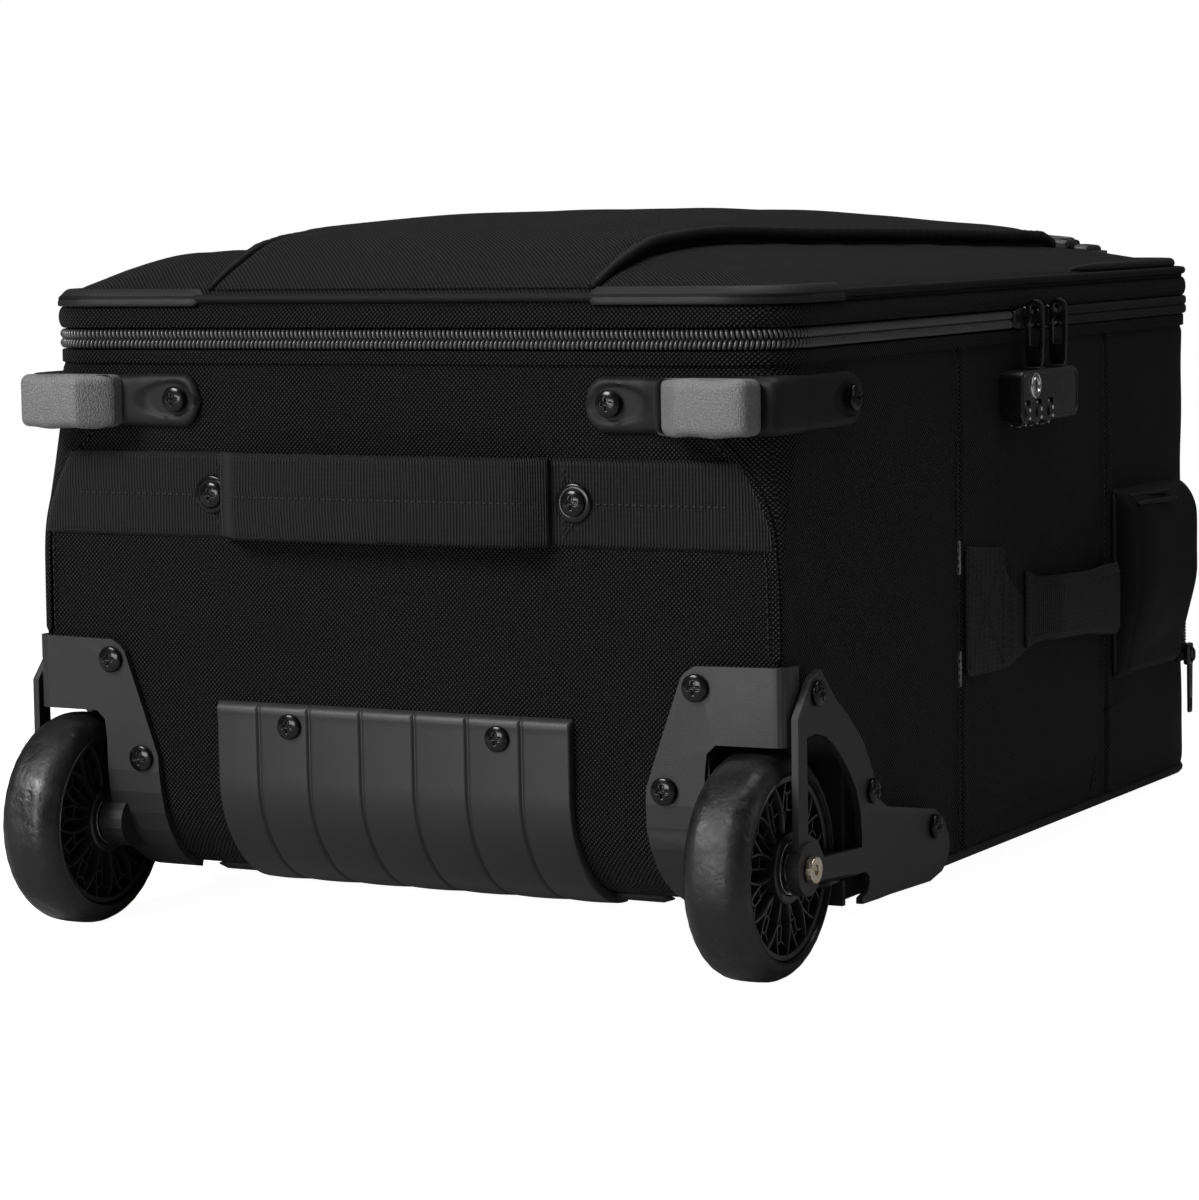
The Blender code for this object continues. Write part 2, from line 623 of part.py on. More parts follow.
def build_bottom_strap():
    strap = keep(skin(GAP, STRAP_T), prism_y(STRAP_OUTLINE, *STRAP_Y))
    for side in (-1, 1):
        face_hole(strap, STRAP_SCREW, side)
    finish(strap, "bottom_strap", "webbing")


def build_end_handles():
    finish(prism_z(GRAB_OUTLINE, *GRAB_Z), "bottom_handle", "webbing",
           (0, GRAB_Y, GRAB_ORIGIN_Z))
    points = [(x, LENGTH + out) for x, out in TOP_HANDLE]
    finish(prism_z(points, *TOP_HANDLE_Z), "top_handle", "webbing",
           (0, points[0][1], sum(TOP_HANDLE_Z) / 2))


# -------------------------------------------------------- fastener assemblies
HEAD_R, HEAD_T, SHANK_R = 0.0058, 0.0026, 0.0018
SHANK_LAP = 0.0010               # shank runs this far into the head
SHANK_END_Y, SHANK_END_X = 0.0075, 0.1748
BACKING = (-WALL - 0.0020, -WALL - 0.0004)       # backing plate offsets, inside the wall
# where the backing plates lie
STRAP_BACKING = (-0.100, 0.100, -0.02, 0.03, 0.1630, 0.1770)
BUMPER_BACKING = (-0.064, 0.064, -0.02, 0.03, 0.0640, 0.0770)
FOOT_BACKING_FACE = (0.098, 0.1800, -0.02, 0.012, 0.2045, 0.2175)
FOOT_BACKING_SIDE = (0.165, 0.20, -0.01, 0.0710, 0.2045, 0.2175)
HOUSING_BACKING_FACE = [(0.1225, 0.0450), (0.1392, 0.0450), (0.1392, 0.0800),
                        (0.1800, 0.0800), (0.1800, 0.1030), (0.1225, 0.1030)]
HOUSING_BACKING_SIDE = [
    (-0.01, 0.0800), (0.0610, 0.0800), (0.0610, 0.0120), (0.1440, 0.0120), (0.1440, 0.0300),
    (0.0950, 0.0600), (0.0800, 0.1030), (-0.01, 0.1030)]


def backing_plate(zone):
    return keep(skin(*BACKING), zone)


def face_screw(plate, centre, thickness, side=1):
    """Pan head screw through a part on the end face, its tail in the backing plate."""
    centre = (side * centre[0], centre[1])
    seat = -(thickness + GAP)
    add(plate, rod_y(centre, SHANK_R, seat - SHANK_LAP, SHANK_END_Y, 8))
    add(plate, rod_y(centre, HEAD_R, seat - HEAD_T, seat, 14))


def side_screw(plate, centre, seat):
    """Pan head screw into the right side, its head resting at x = seat."""
    add(plate, rod_x(centre, SHANK_R, SHANK_END_X, seat + SHANK_LAP, 8))
    add(plate, rod_x(centre, HEAD_R, seat, seat + HEAD_T, 14))


def build_end_screws():
    for name, zone, centre, thickness in (
            ("strap_screws", STRAP_BACKING, STRAP_SCREW, STRAP_T),
            ("bumper_screws", BUMPER_BACKING, BUMPER_SCREW, BUMPER_T)):
        plate = backing_plate(box(*zone))
        for side in (-1, 1):
            face_screw(plate, centre, thickness, side)
        finish(plate, name, "black_screw")


def build_foot_screws():
    plate = backing_plate(add(box(*FOOT_BACKING_FACE), box(*FOOT_BACKING_SIDE)))
    face_screw(plate, FOOT_SCREW_FACE, FOOT_T)
    side_screw(plate, FOOT_SCREW_SIDE, HALF_W + FOOT_T + GAP)
    finish_pair(plate, "foot_screws", "black_screw")


def build_housing_screws():
    plate = backing_plate(add(prism_y(HOUSING_BACKING_FACE, -0.02, 0.012),
                              prism_x(HOUSING_BACKING_SIDE, 0.165, 0.20)))
    for centre in HOUSING_FACE:
        face_screw(plate, centre, HOUSING_T)
    for centre in HOUSING_SIDE:
        side_screw(plate, centre, GUARD_X[1] + GAP)
    finish_pair(plate, "housing_screws", "black_screw")


# ------------------------------------------------------------ right side face
ANCHOR_OUTLINE = [(0.1860, 0.0780), (0.2450, 0.0780), (0.2600, 0.0850), (0.2620, 0.1000),
                  (0.2620, 0.1180), (0.2580, 0.1255), (0.1860, 0.1390)]
ANCHOR_T, ANCHOR_CLIP_X = 0.0020, (0.150, 0.200)
GRIP_X = 0.1845
GRIP_OUTLINE = [(GRIP_X, 0.2640), (0.1870, 0.2650), (0.1895, 0.2850), (0.1905, 0.3180),
                (0.1895, 0.3500), (0.1870, 0.3670), (GRIP_X, 0.3680)]
GRIP_Z = (0.0835, 0.1175)
POCKET_X = 0.1824
POCKET_OUTLINE = [(POCKET_X, 0.3720), (0.1880, 0.3735), (0.1955, 0.3860), (0.1995, 0.4100),
                  (0.1990, 0.4400), (0.1930, 0.4580), (0.1870, 0.4620), (POCKET_X, 0.4620)]
# (share of full depth, z)
POCKET_LEVELS = ((0.45, 0.0580), (0.75, 0.0700), (1.0, 0.1000), (1.0, 0.1300),
                 (0.80, 0.1440), (0.35, 0.1500))
POCKET_SLIDER_AXIS = (0.1875, 0.4665, 0.0600)
POCKET_SLIDER = (0.1852, 0.1894, 0.4627, 0.4697, 0.0545, 0.0655)
POCKET_PULL = round_rect(0.4638, 0.4686, 0.0300, 0.0560, 0.0012, 1)
POCKET_PULL_X = (0.1868, 0.1886)


def build_side_handle():
    anchor = keep(skin(GAP, ANCHOR_T), prism_x(ANCHOR_OUTLINE, *ANCHOR_CLIP_X))
    finish(anchor, "side_handle_anchor", "webbing")
    finish(prism_z(GRIP_OUTLINE, *GRIP_Z), "side_handle_grip", "webbing",
           (GRIP_X, 0.3160, sum(GRIP_Z) / 2))


def build_side_pocket():
    pocket = loft([([(POCKET_X + (x - POCKET_X) * depth, y) for x, y in POCKET_OUTLINE], z)
                   for depth, z in POCKET_LEVELS])
    finish(pocket, "side_pocket", "ballistic_nylon")


def build_pocket_slider():
    slider = rounded_box(*POCKET_SLIDER, 0.0010, 1)
    slider = add(slider, prism_x(POCKET_PULL, *POCKET_PULL_X))
    finish(slider, "pocket_slider", "black_plastic", POCKET_SLIDER_AXIS,
           add_axis("slide_pocket", POCKET_SLIDER_AXIS))


# ------------------------------------------------------------ main zip sliders
SLIDER_Y = {"front": 0.2550, "rear": 0.2835}     # front is nearer the wheels
SLIDER_AXIS_X, SLIDER_Z = 0.1835, 0.2370
SLIDER_X = (0.1824, 0.1846)
SLIDER_HALF_L, SLIDER_HALF_H = 0.0120, 0.0050
PULL_X, PULL_TOP_Z, PULL_END_Z = 0.1896, 0.2415, 0.2150
PULL_R, PULL_T = 0.0043, 0.0020
PULL_CHAMFER, PULL_FRAME = 0.0020, 0.0018


def pull(y):
    """Long pull hanging edge-on to the case, with a slot for the lock."""
    left, right, chamfer = PULL_X - PULL_R, PULL_X + PULL_R, PULL_CHAMFER
    points = arc(PULL_X, PULL_TOP_Z, PULL_R, 0, 180, 8) + [
        (left, PULL_END_Z + chamfer), (left + chamfer, PULL_END_Z),
        (right - chamfer, PULL_END_Z), (right, PULL_END_Z + chamfer)]
    slot = round_rect(left + PULL_FRAME, right - PULL_FRAME,
                      PULL_END_Z + 0.0080, PULL_TOP_Z - 0.0060, 0.0012, 1)
    return cut(prism_y(points, y - PULL_T / 2, y + PULL_T / 2),
               prism_y(slot, y - OVER, y + OVER))


def build_main_sliders():
    for tag, y in SLIDER_Y.items():
        centre = (SLIDER_AXIS_X, y, SLIDER_Z)
        axis = add_axis("slide_" + tag, centre)
        slider = rounded_box(*SLIDER_X, y - SLIDER_HALF_L, y + SLIDER_HALF_L,
                             SLIDER_Z - SLIDER_HALF_H, SLIDER_Z + SLIDER_HALF_H, 0.0007, 1)
        finish(slider, "main_slider_" + tag, "black_plastic", centre, axis)
        finish(pull(y), "main_pull_" + tag, "black_plastic", (PULL_X, y, PULL_TOP_Z), axis)


# ------------------------------------------------------------ combination lock
LOCK_OUTLINE = round_rect(0.2280, 0.2980, 0.1905, 0.2142, 0.0030, 2)
LOCK_X = (0.1823, 0.1940)
DIAL_Y = [0.2350 + 0.0140 * i for i in range(3)]
DIAL_X, DIAL_Z, DIAL_R, DIAL_W = 0.1895, 0.1945, 0.0058, 0.0055
CYLINDER = (0.2449, 0.2072)      # key cylinder centre (y, z)
CYLINDER_R, CYLINDER_X = 0.0044, (0.1864, 0.1948)
KEY_HALF_W, KEY_HALF_H = 0.0005, 0.0028


def build_lock():
    lock = as_object(prism_x(LOCK_OUTLINE, *LOCK_X))
    for y in DIAL_Y:
        half = DIAL_W / 2 + GAP
        cut(lock, box(0.1830, 0.2000, y - half, y + half, 0.1800, DIAL_Z + DIAL_R + 0.0006))
    cut(lock, rod_x(CYLINDER, CYLINDER_R + GAP, 0.1860, 0.2000, 16))
    finish(lock, "lock_housing", "black_plastic")

    for i, y in enumerate(DIAL_Y):
        dial = rod_y((DIAL_X, DIAL_Z), DIAL_R, y - DIAL_W / 2, y + DIAL_W / 2, 20)
        finish(dial, "lock_dial_%d" % (i + 1), "black_plastic", (DIAL_X, y, DIAL_Z))

    y, z = CYLINDER
    keyway = box(0.1936, 0.1990, y - KEY_HALF_W, y + KEY_HALF_W, z - KEY_HALF_H, z + KEY_HALF_H)
    cylinder = cut(rod_x(CYLINDER, CYLINDER_R, *CYLINDER_X, 16), keyway)
    finish(cylinder, "lock_key_cylinder", "nickel", (CYLINDER_X[0], y, z))


# -------------------------------------------------------------- trolley handle
TUBE_X = 0.0850          # tube spacing from the mid-plane
TUBE_Z = 0.0118
# tube sections, (width, height)
SLEEVE = (0.0240, 0.0136)
STAGE_1 = (0.0210, 0.0106)
STAGE_2 = (0.0182, 0.0078)
TUBE_T, SLEEVE_T = 0.0009, 0.0010
TUBE_CLEARANCE = 0.0004
# corner radius as a share of section height
OUTER_ROUND, BORE_ROUND, HOLE_ROUND = 0.30, 0.26, 0.28
SLEEVE_Y = (0.0520, 0.4793)
STAGE_1_Y = (0.0570, 0.4850)
STAGE_2_Y = (0.0620, 0.4960)
BRIDGE = (-0.1000, 0.1000, 0.4834, 0.4866, 0.0058, 0.0178)

CUP = (-0.1076, 0.1076, 0.4797, 0.5120, 0.0044, 0.0350)
CUP_INSIDE = (-0.1058, 0.1058, 0.4830, 0.5300, 0.0056, 0.0334)
CUP_FLANGE = round_rect(-0.1130, 0.1130, 0.0008, 0.0392, 0.005, 2)
CUP_FLANGE_Y = (0.5103, 0.5125)

HANDLE = (-0.1045, 0.1045, 0.4872, 0.5118, 0.0066, 0.0324)
HANDLE_SOCKET_Y = (0.480, 0.4966)
LINKAGE_CAVITY = (-0.0970, 0.0970, 0.4964, 0.5070, 0.0092, 0.0148)
BUTTON_HOLE = (-0.0140, 0.0140, 0.5050, 0.5200, 0.0096, 0.0258)
BUTTON = (-0.0134, 0.0134, 0.5078, 0.5145, 0.0102, 0.0252)
LINK_BAR = (-0.0885, 0.0885, 0.5010, 0.5048, 0.0098, 0.0138)
LINK_ROD_HALF_W, LINK_ROD_HALF_H, LINK_ROD_Y = 0.0035, 0.0015, (0.0700, 0.5020)


def tube_solid(section, x, y0, y1, grow=0.0, rounding=OUTER_ROUND):
    """Solid bar of a tube section, grown all round."""
    w, h = section[0] + 2 * grow, section[1] + 2 * grow
    return prism_y(round_rect(x - w / 2, x + w / 2, TUBE_Z - h / 2, TUBE_Z + h / 2,
                              h * rounding, 2), y0, y1)


def tube(section, x, y0, y1, wall):
    bore = tube_solid(section, x, y0 - OVER, y1 + OVER, -wall, BORE_ROUND)
    return cut(tube_solid(section, x, y0, y1), bore)


def tube_hole(section, x, y0, y1):
    return tube_solid(section, x, y0, y1, TUBE_CLEARANCE, HOLE_ROUND)


def build_trolley_mount():
    """Fixed sleeves and the bezel cup the handle sinks into."""
    for x, tag in ((-TUBE_X, "left"), (TUBE_X, "right")):
        finish(tube(SLEEVE, x, *SLEEVE_Y, SLEEVE_T), "trolley_sleeve_" + tag, "plated_steel")
    cup = add(box(*CUP), prism_y(CUP_FLANGE, *CUP_FLANGE_Y))
    cut(cup, box(*CUP_INSIDE))
    for x in (-TUBE_X, TUBE_X):
        cut(cup, tube_hole(STAGE_1, x, 0.470, 0.490))
    finish(cup, "trolley_bezel", "charcoal_plastic")


def build_trolley_tubes(axis):
    stage = as_object(box(*BRIDGE))
    for x in (-TUBE_X, TUBE_X):
        add(stage, tube_solid(STAGE_1, x, *STAGE_1_Y))
    for x in (-TUBE_X, TUBE_X):
        cut(stage, tube_solid(STAGE_1, x, 0.0500, 0.5000, -TUBE_T, BORE_ROUND))
    finish(stage, "trolley_stage_1", "anodised_tube", (0, STAGE_1_Y[1], TUBE_Z), axis)
    for x, tag in ((-TUBE_X, "left"), (TUBE_X, "right")):
        finish(tube(STAGE_2, x, *STAGE_2_Y, TUBE_T), "trolley_stage_2_" + tag,
               "anodised_tube", (x, STAGE_2_Y[1], TUBE_Z), axis)


def build_trolley_grip(axis):
    grip = as_object(rounded_box(*HANDLE, 0.0040))
    for x in (-TUBE_X, TUBE_X):
        cut(grip, tube_hole(STAGE_2, x, *HANDLE_SOCKET_Y))
    cut(grip, box(*LINKAGE_CAVITY))
    cut(grip, box(*BUTTON_HOLE))
    finish(grip, "trolley_grip", "black_plastic", (0, 0.5000, 0.0195), axis)
    finish(rounded_box(*BUTTON, 0.0012, 1), "release_button", "charcoal_plastic",
           (0, BUTTON[3], 0.0177), axis)


def build_release_linkage(axis):
    """Cross bar in the grip with a flat rod down each tube."""
    linkage = as_object(box(*LINK_BAR))
    for x in (-TUBE_X, TUBE_X):
        add(linkage, box(x - LINK_ROD_HALF_W, x + LINK_ROD_HALF_W, *LINK_ROD_Y,
                         TUBE_Z - LINK_ROD_HALF_H, TUBE_Z + LINK_ROD_HALF_H))
    finish(linkage, "release_linkage", "plated_steel", (0, 0.5030, TUBE_Z), axis)


# -------------------------------------------------------------------- assembly
def build_case():
    build_body_shell()
    build_stiffeners()
    build_rim_rod()
    finish(zip_chain(*CHAIN_LOWER_Z), "zipper_chain_lower", "coil")
    build_lid()
    build_wheel_housings()
    build_side_guards()
    build_axle_bolts()
    build_wheel(1, "right")
    build_wheel(-1, "left")
    build_bumper()
    build_feet()
    build_bottom_strap()
    build_end_handles()
    build_end_screws()
    build_foot_screws()
    build_housing_screws()
    build_side_handle()
    build_side_pocket()
    build_main_sliders()
    build_pocket_slider()
    build_lock()
    build_trolley_mount()
    stage_axis = add_axis("stage_1")
    build_trolley_tubes(stage_axis)
    build_trolley_grip(stage_axis)
    build_release_linkage(stage_axis)


for old in list(bpy.data.objects):
    bpy.data.objects.remove(old, do_unlink=True)
make_materials()
build_case()

# put the origin in the middle of the back panel; children follow their parents
for piece in bpy.data.objects:
    if piece.parent is None:
        piece.location.y -= LENGTH / 2
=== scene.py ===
"""Looks of a rolling laptop case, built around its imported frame. Metres, +Z up.

The case lies on its back. x runs across it, y from the wheel end to the handle end and z from
the back up to the lid. Pieces are laid out with y counted from the wheel-end face.
"""
import json
import math

import bmesh
import bpy
import numpy as np
from mathutils import Matrix, Vector

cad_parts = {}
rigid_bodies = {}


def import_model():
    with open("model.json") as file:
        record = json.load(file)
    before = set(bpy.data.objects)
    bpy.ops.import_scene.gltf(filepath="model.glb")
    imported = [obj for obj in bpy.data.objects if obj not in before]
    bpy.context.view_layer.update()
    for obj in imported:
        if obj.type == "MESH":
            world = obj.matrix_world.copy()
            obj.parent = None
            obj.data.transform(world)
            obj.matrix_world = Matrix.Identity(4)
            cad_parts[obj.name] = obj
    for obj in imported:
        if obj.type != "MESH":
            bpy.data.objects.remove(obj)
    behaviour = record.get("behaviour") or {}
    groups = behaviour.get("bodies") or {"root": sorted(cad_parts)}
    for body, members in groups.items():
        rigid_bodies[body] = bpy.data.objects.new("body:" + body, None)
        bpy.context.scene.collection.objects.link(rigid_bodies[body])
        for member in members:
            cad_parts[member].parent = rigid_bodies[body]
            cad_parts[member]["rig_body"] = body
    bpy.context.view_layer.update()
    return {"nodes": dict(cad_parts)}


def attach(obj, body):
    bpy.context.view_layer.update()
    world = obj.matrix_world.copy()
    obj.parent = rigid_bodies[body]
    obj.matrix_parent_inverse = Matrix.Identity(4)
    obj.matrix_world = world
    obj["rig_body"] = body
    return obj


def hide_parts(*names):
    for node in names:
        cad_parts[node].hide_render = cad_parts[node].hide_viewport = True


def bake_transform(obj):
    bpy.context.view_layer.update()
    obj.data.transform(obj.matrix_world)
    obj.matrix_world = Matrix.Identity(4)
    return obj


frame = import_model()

CAD_NODES = frame["nodes"]

# Overall size of the case body, and the shift from layout y to the frame's own origin.
HALF_W, LENGTH, RIM_Z = 0.1820, 0.5100, 0.2322
TO_FRAME = (0.0, -LENGTH / 2, 0.0)
# Rounding of the body: heel under the wheel end, foot of the far end, far corners, back edge.
HEEL_R, TAIL_R, REAR_R, EDGE_R = 0.0470, 0.0080, 0.0450, 0.0035
# Height, plan radius of the two wheel-end corners there.
FRONT_RADII = ((-1.0, 0.0030), (0.150, 0.0030), (0.165, 0.0090), (0.183, 0.0165),
               (0.201, 0.0235), (0.228, 0.0290), (0.245, 0.0300), (1.0, 0.0300))
# Distance in from the lid's outline, height of its surface there.
LID_EDGE_Z = 0.2540
LID_HEIGHTS = ((0.0, LID_EDGE_Z), (0.006, 0.2588), (0.020, 0.2640), (0.045, 0.2700),
               (0.080, 0.2760), (0.105, 0.2790), (0.182, 0.2810))
AXLE_Y, AXLE_Z, WHEEL_X, WHEEL_R = 0.0060, 0.0229, 0.1680, 0.0470
WELL_X, WELL_Y, WELL_Z = 0.1458, 0.0590, 0.0775
SIDE_SEAMS_Y = (0.1830, 0.3625)
SIDES = ((1, "right"), (-1, "left"))
STRAP_WIDTH = 0.0372                     # of the webbing across the wheel-end face


def lerp(start, end, t):
    return start + (end - start) * t


def smooth(t):
    t = np.clip(t, 0.0, 1.0)
    return t * t * (3 - 2 * t)


def bell(distance, width):
    return np.exp(-(distance / width) ** 2)


def round_off(distance, radius, least=0.0):
    """Quarter-circle rise from 0 at an edge to 1 at a radius from it."""
    t = np.clip(distance / radius, 0, 1)
    return np.sqrt(np.clip(1 - (1 - t) ** 2, least, 1))


def table(pairs, value):
    return np.interp(value, [a for a, _ in pairs], [b for _, b in pairs])


# ------------------------------------------------------------------ materials
def grey(value, warmth=0.0):
    return (value, value * (1 - 0.25 * warmth), value * (1 - 0.5 * warmth), 1.0)


class Shader:
    """Node tree of one material, with short calls that add and chain its nodes."""

    SOCKETS = dict(color="Base Color", rough="Roughness", metal="Metallic", normal="Normal",
                   sheen="Sheen Weight", sheen_rough="Sheen Roughness", coat="Coat Weight",
                   coat_rough="Coat Roughness", spec="Specular IOR Level")

    def __init__(self, material):
        material.use_nodes = True
        self.tree = material.node_tree
        self.tree.nodes.clear()
        self.out = self.add("OutputMaterial")
        self.bsdf = self.add("BsdfPrincipled")
        self.link(self.bsdf.outputs[0], self.out.inputs[0])
        coordinates = self.add("TexCoord").outputs
        self.position, self.normal = coordinates["Object"], coordinates["Normal"]

    def link(self, value, socket):
        if isinstance(value, (int, float, tuple)):
            socket.default_value = value
        else:
            self.tree.links.new(value, socket)

    def add(self, kind, inputs=None, **settings):
        node = self.tree.nodes.new("ShaderNode" + kind)
        for name, value in settings.items():
            setattr(node, name, value)
        for socket, value in (inputs or {}).items():
            self.link(value, node.inputs[socket])
        return node

    def calc(self, operation, a, b=0.0, c=0.0):
        return self.add("Math", {0: a, 1: b, 2: c}, operation=operation).outputs[0]

    def times(self, a, b):
        return self.calc("MULTIPLY", a, b)

    def plus(self, a, b):
        return self.calc("ADD", a, b)

    def linear(self, value, gain, offset):
        return self.calc("MULTIPLY_ADD", value, gain, offset)

    def split(self, vector):
        return self.add("SeparateXYZ", {0: vector}).outputs

    def mix(self, factor, low, high):
        return self.add("Mix", {0: factor, 2: low, 3: high}, data_type="FLOAT").outputs[0]

    def color(self, factor, low, high):
        return self.add("Mix", {0: factor, 6: low, 7: high}, data_type="RGBA").outputs[2]

    def shade(self, factor, low, high, warmth=0.0):
        return self.color(factor, grey(low, warmth), grey(high, warmth))

    def noise(self, scale, detail=2.0, roughness=0.5, stretch=None):
        vector = self.position
        if stretch:
            vector = self.add("Mapping", {"Scale": stretch, "Vector": vector}).outputs[0]
        return self.add("TexNoise", {"Vector": vector, "Scale": scale, "Detail": detail,
                                     "Roughness": roughness}).outputs["Fac"]

    def vary(self, value, gain, offset, **noise):
        """Value made uneven by a noise that runs from offset to offset + gain."""
        return self.times(value, self.linear(self.noise(**noise), gain, offset))

    def voronoi(self, scale):
        node = self.add("TexVoronoi", {"Vector": self.position, "Scale": scale})
        return node.outputs["Distance"]

    def step(self, value, start, end):
        return self.add("MapRange", {0: value, 1: start, 2: end},
                        interpolation_type="SMOOTHSTEP").outputs[0]

    def bump(self, height, distance, strength=1.0, under=None):
        inputs = {"Strength": strength, "Distance": distance, "Height": height}
        if under is not None:
            inputs["Normal"] = under
        return self.add("Bump", inputs).outputs[0]

    def planar(self):
        """In-plane coordinates chosen by which way the surface faces."""
        place, facing = self.split(self.position), self.split(self.normal)
        size_x, size_y, size_z = (self.calc("ABSOLUTE", c) for c in facing)
        side = self.calc("GREATER_THAN", size_x, self.calc("MAXIMUM", size_y, size_z))
        lean = self.calc("MAXIMUM", size_x, self.times(size_y, 1.3))
        top = self.calc("GREATER_THAN", size_z, lean)
        return self.mix(side, place[0], place[1]), self.mix(top, place[2], place[1])

    def wave(self, value, period):
        return self.calc("SINE", self.linear(value, 2 * math.pi / period, 0.0))

    def weave(self, across, along, pitch):
        return self.times(self.wave(across, pitch), self.wave(along, pitch))

    def surface(self, **values):
        for name, value in values.items():
            self.link(value, self.bsdf.inputs[self.SOCKETS[name]])


MATERIALS = {}


def new_material(name):
    MATERIALS[name] = bpy.data.materials.new(name)
    return Shader(MATERIALS[name])


def material(recipe):
    """Makes the material named after the decorated function."""
    recipe(new_material(recipe.__name__))
    return recipe


@material
def ballistic(mat):
    """Coarse basket weave of alternating raised floats."""
    pitch = 0.00205
    across, along = mat.planar()
    weave = mat.weave(across, along, pitch)
    yarn = mat.times(mat.wave(across, pitch / 4), 0.5)
    height = mat.plus(weave, mat.times(yarn, 0.25))
    # The raised floats' base colour is lightened as painted glints; their specular level is raised
    # as well.
    dot = mat.step(weave, start=-0.10, end=0.72)
    light = mat.linear(dot, gain=0.86, offset=0.06)
    light = mat.vary(light, gain=0.5, offset=0.75, scale=14, detail=3)
    light = mat.vary(light, gain=0.6, offset=0.7, scale=2600, detail=2)
    slack = mat.bump(mat.noise(scale=220, detail=3), distance=0.0006, strength=0.25)
    mat.surface(color=mat.shade(light, low=0.0, high=0.0155, warmth=0.05),
                rough=mat.linear(mat.step(weave, start=-0.5, end=1.0), gain=-0.16, offset=0.66),
                spec=mat.linear(dot, gain=0.26, offset=0.09), sheen=0.006, sheen_rough=0.45,
                normal=mat.bump(height, distance=0.00048, under=slack))


@material
def plain_nylon(mat):
    weave = mat.weave(*mat.planar(), pitch=0.0011)
    light = mat.vary(mat.linear(weave, gain=0.22, offset=0.8), gain=0.5, offset=0.75,
                     scale=18, detail=3)
    slack = mat.bump(mat.noise(scale=160, detail=3), distance=0.0006, strength=0.3)
    mat.surface(color=mat.shade(light, low=0.0, high=0.0036), rough=0.60, spec=0.16,
                sheen=0.006, sheen_rough=0.5,
                normal=mat.bump(weave, distance=0.00010, strength=0.6, under=slack))


def webbing(mat, across, along, brightness=1.0):
    """Ribs run across the tape; across and along are coordinate outputs."""
    rib = mat.wave(along, period=0.00150)
    height = mat.plus(rib, mat.times(mat.wave(across, period=0.0022), 0.22))
    light = mat.vary(mat.linear(rib, gain=0.75, offset=0.60), gain=0.5, offset=0.75,
                     scale=30, detail=3)
    light = mat.vary(light, gain=0.6, offset=0.7, scale=1900, detail=2)
    mat.surface(color=mat.shade(light, low=0.0, high=0.0140 * brightness),
                rough=mat.linear(rib, gain=-0.06, offset=0.52), spec=0.27, sheen=0.02,
                sheen_rough=0.4, normal=mat.bump(height, distance=0.00036))


@material
def webbing_x(mat):
    x, y, z = mat.split(mat.position)
    webbing(mat, across=z, along=mat.linear(mat.calc("SIGN", x), y, x))


@material
def webbing_y(mat):
    _, y, z = mat.split(mat.position)
    webbing(mat, across=z, along=y, brightness=0.8)


@material
def grosgrain(mat):
    x, y, _ = mat.split(mat.position)
    rib = mat.wave(mat.plus(x, y), period=0.0012)
    light = mat.vary(mat.linear(rib, gain=0.25, offset=0.75), gain=0.5, offset=0.75,
                     scale=40, detail=2)
    mat.surface(color=mat.shade(light, low=0.0, high=0.009), rough=0.55, spec=0.3, sheen=0.02,
                normal=mat.bump(rib, distance=0.00015, strength=0.7))


@material
def binding(mat):
    fine = mat.noise(scale=900, detail=3)
    slack = mat.bump(mat.noise(scale=120, detail=2), distance=0.0005, strength=0.25)
    mat.surface(color=mat.shade(mat.noise(scale=22, detail=3), low=0.0050, high=0.0105),
                rough=mat.linear(fine, gain=0.22, offset=0.50), spec=0.28,
                normal=mat.bump(fine, distance=0.00012, strength=0.5, under=slack))


@material
def zip_tape(mat):
    x, y, z = mat.split(mat.position)
    cross = mat.times(mat.wave(mat.plus(x, y), period=0.0010), 0.6)
    weave = mat.plus(mat.wave(z, period=0.0009), cross)
    light = mat.linear(weave, gain=0.2, offset=0.5)
    mat.surface(color=mat.shade(light, low=0.004, high=0.012), rough=0.6, spec=0.35,
                normal=mat.bump(weave, distance=0.00010, strength=0.7))


def moulded(mat, low, high, rough, spec, grain=1400, warmth=0.0):
    """Moulded nylon: fine pebble, soft mottling, edges rubbed a little lighter."""
    fine, big = mat.noise(scale=grain, detail=2), mat.noise(scale=26, detail=4)
    worn = mat.step(mat.add("NewGeometry").outputs["Pointiness"], start=0.515, end=0.60)
    worn = mat.vary(worn, gain=0.9, offset=0.2, scale=90, detail=4)
    base = mat.shade(mat.linear(fine, 0.35, mat.times(big, 0.65)), low, high, warmth)
    uneven = mat.bump(mat.noise(scale=60, detail=2), distance=0.0006, strength=0.12)
    mat.surface(color=mat.color(worn, base, grey(high * 2.1, warmth)),
                rough=mat.plus(mat.times(fine, 0.16), mat.linear(big, gain=0.14, offset=rough)),
                spec=spec,
                normal=mat.bump(fine, distance=0.00010, strength=0.55, under=uneven))


@material
def charcoal(mat):
    moulded(mat, low=0.0105, high=0.0185, rough=0.34, spec=0.40)


@material
def charcoal_arm(mat):
    moulded(mat, low=0.0036, high=0.0075, rough=0.44, spec=0.26, grain=1500, warmth=0.12)


@material
def pad(mat):
    """Pebbled grey rubber of the foot pads."""
    fine, spark = mat.noise(scale=1500, detail=2), mat.voronoi(scale=1300)
    light = mat.linear(mat.step(spark, start=0.05, end=0.42), gain=-0.5,
                       offset=mat.linear(fine, gain=0.7, offset=0.45))
    mat.surface(color=mat.shade(light, low=0.075, high=0.260), spec=0.45,
                rough=mat.linear(fine, gain=0.2, offset=0.42),
                normal=mat.bump(mat.calc("SUBTRACT", fine, spark), distance=0.00028, strength=0.9))


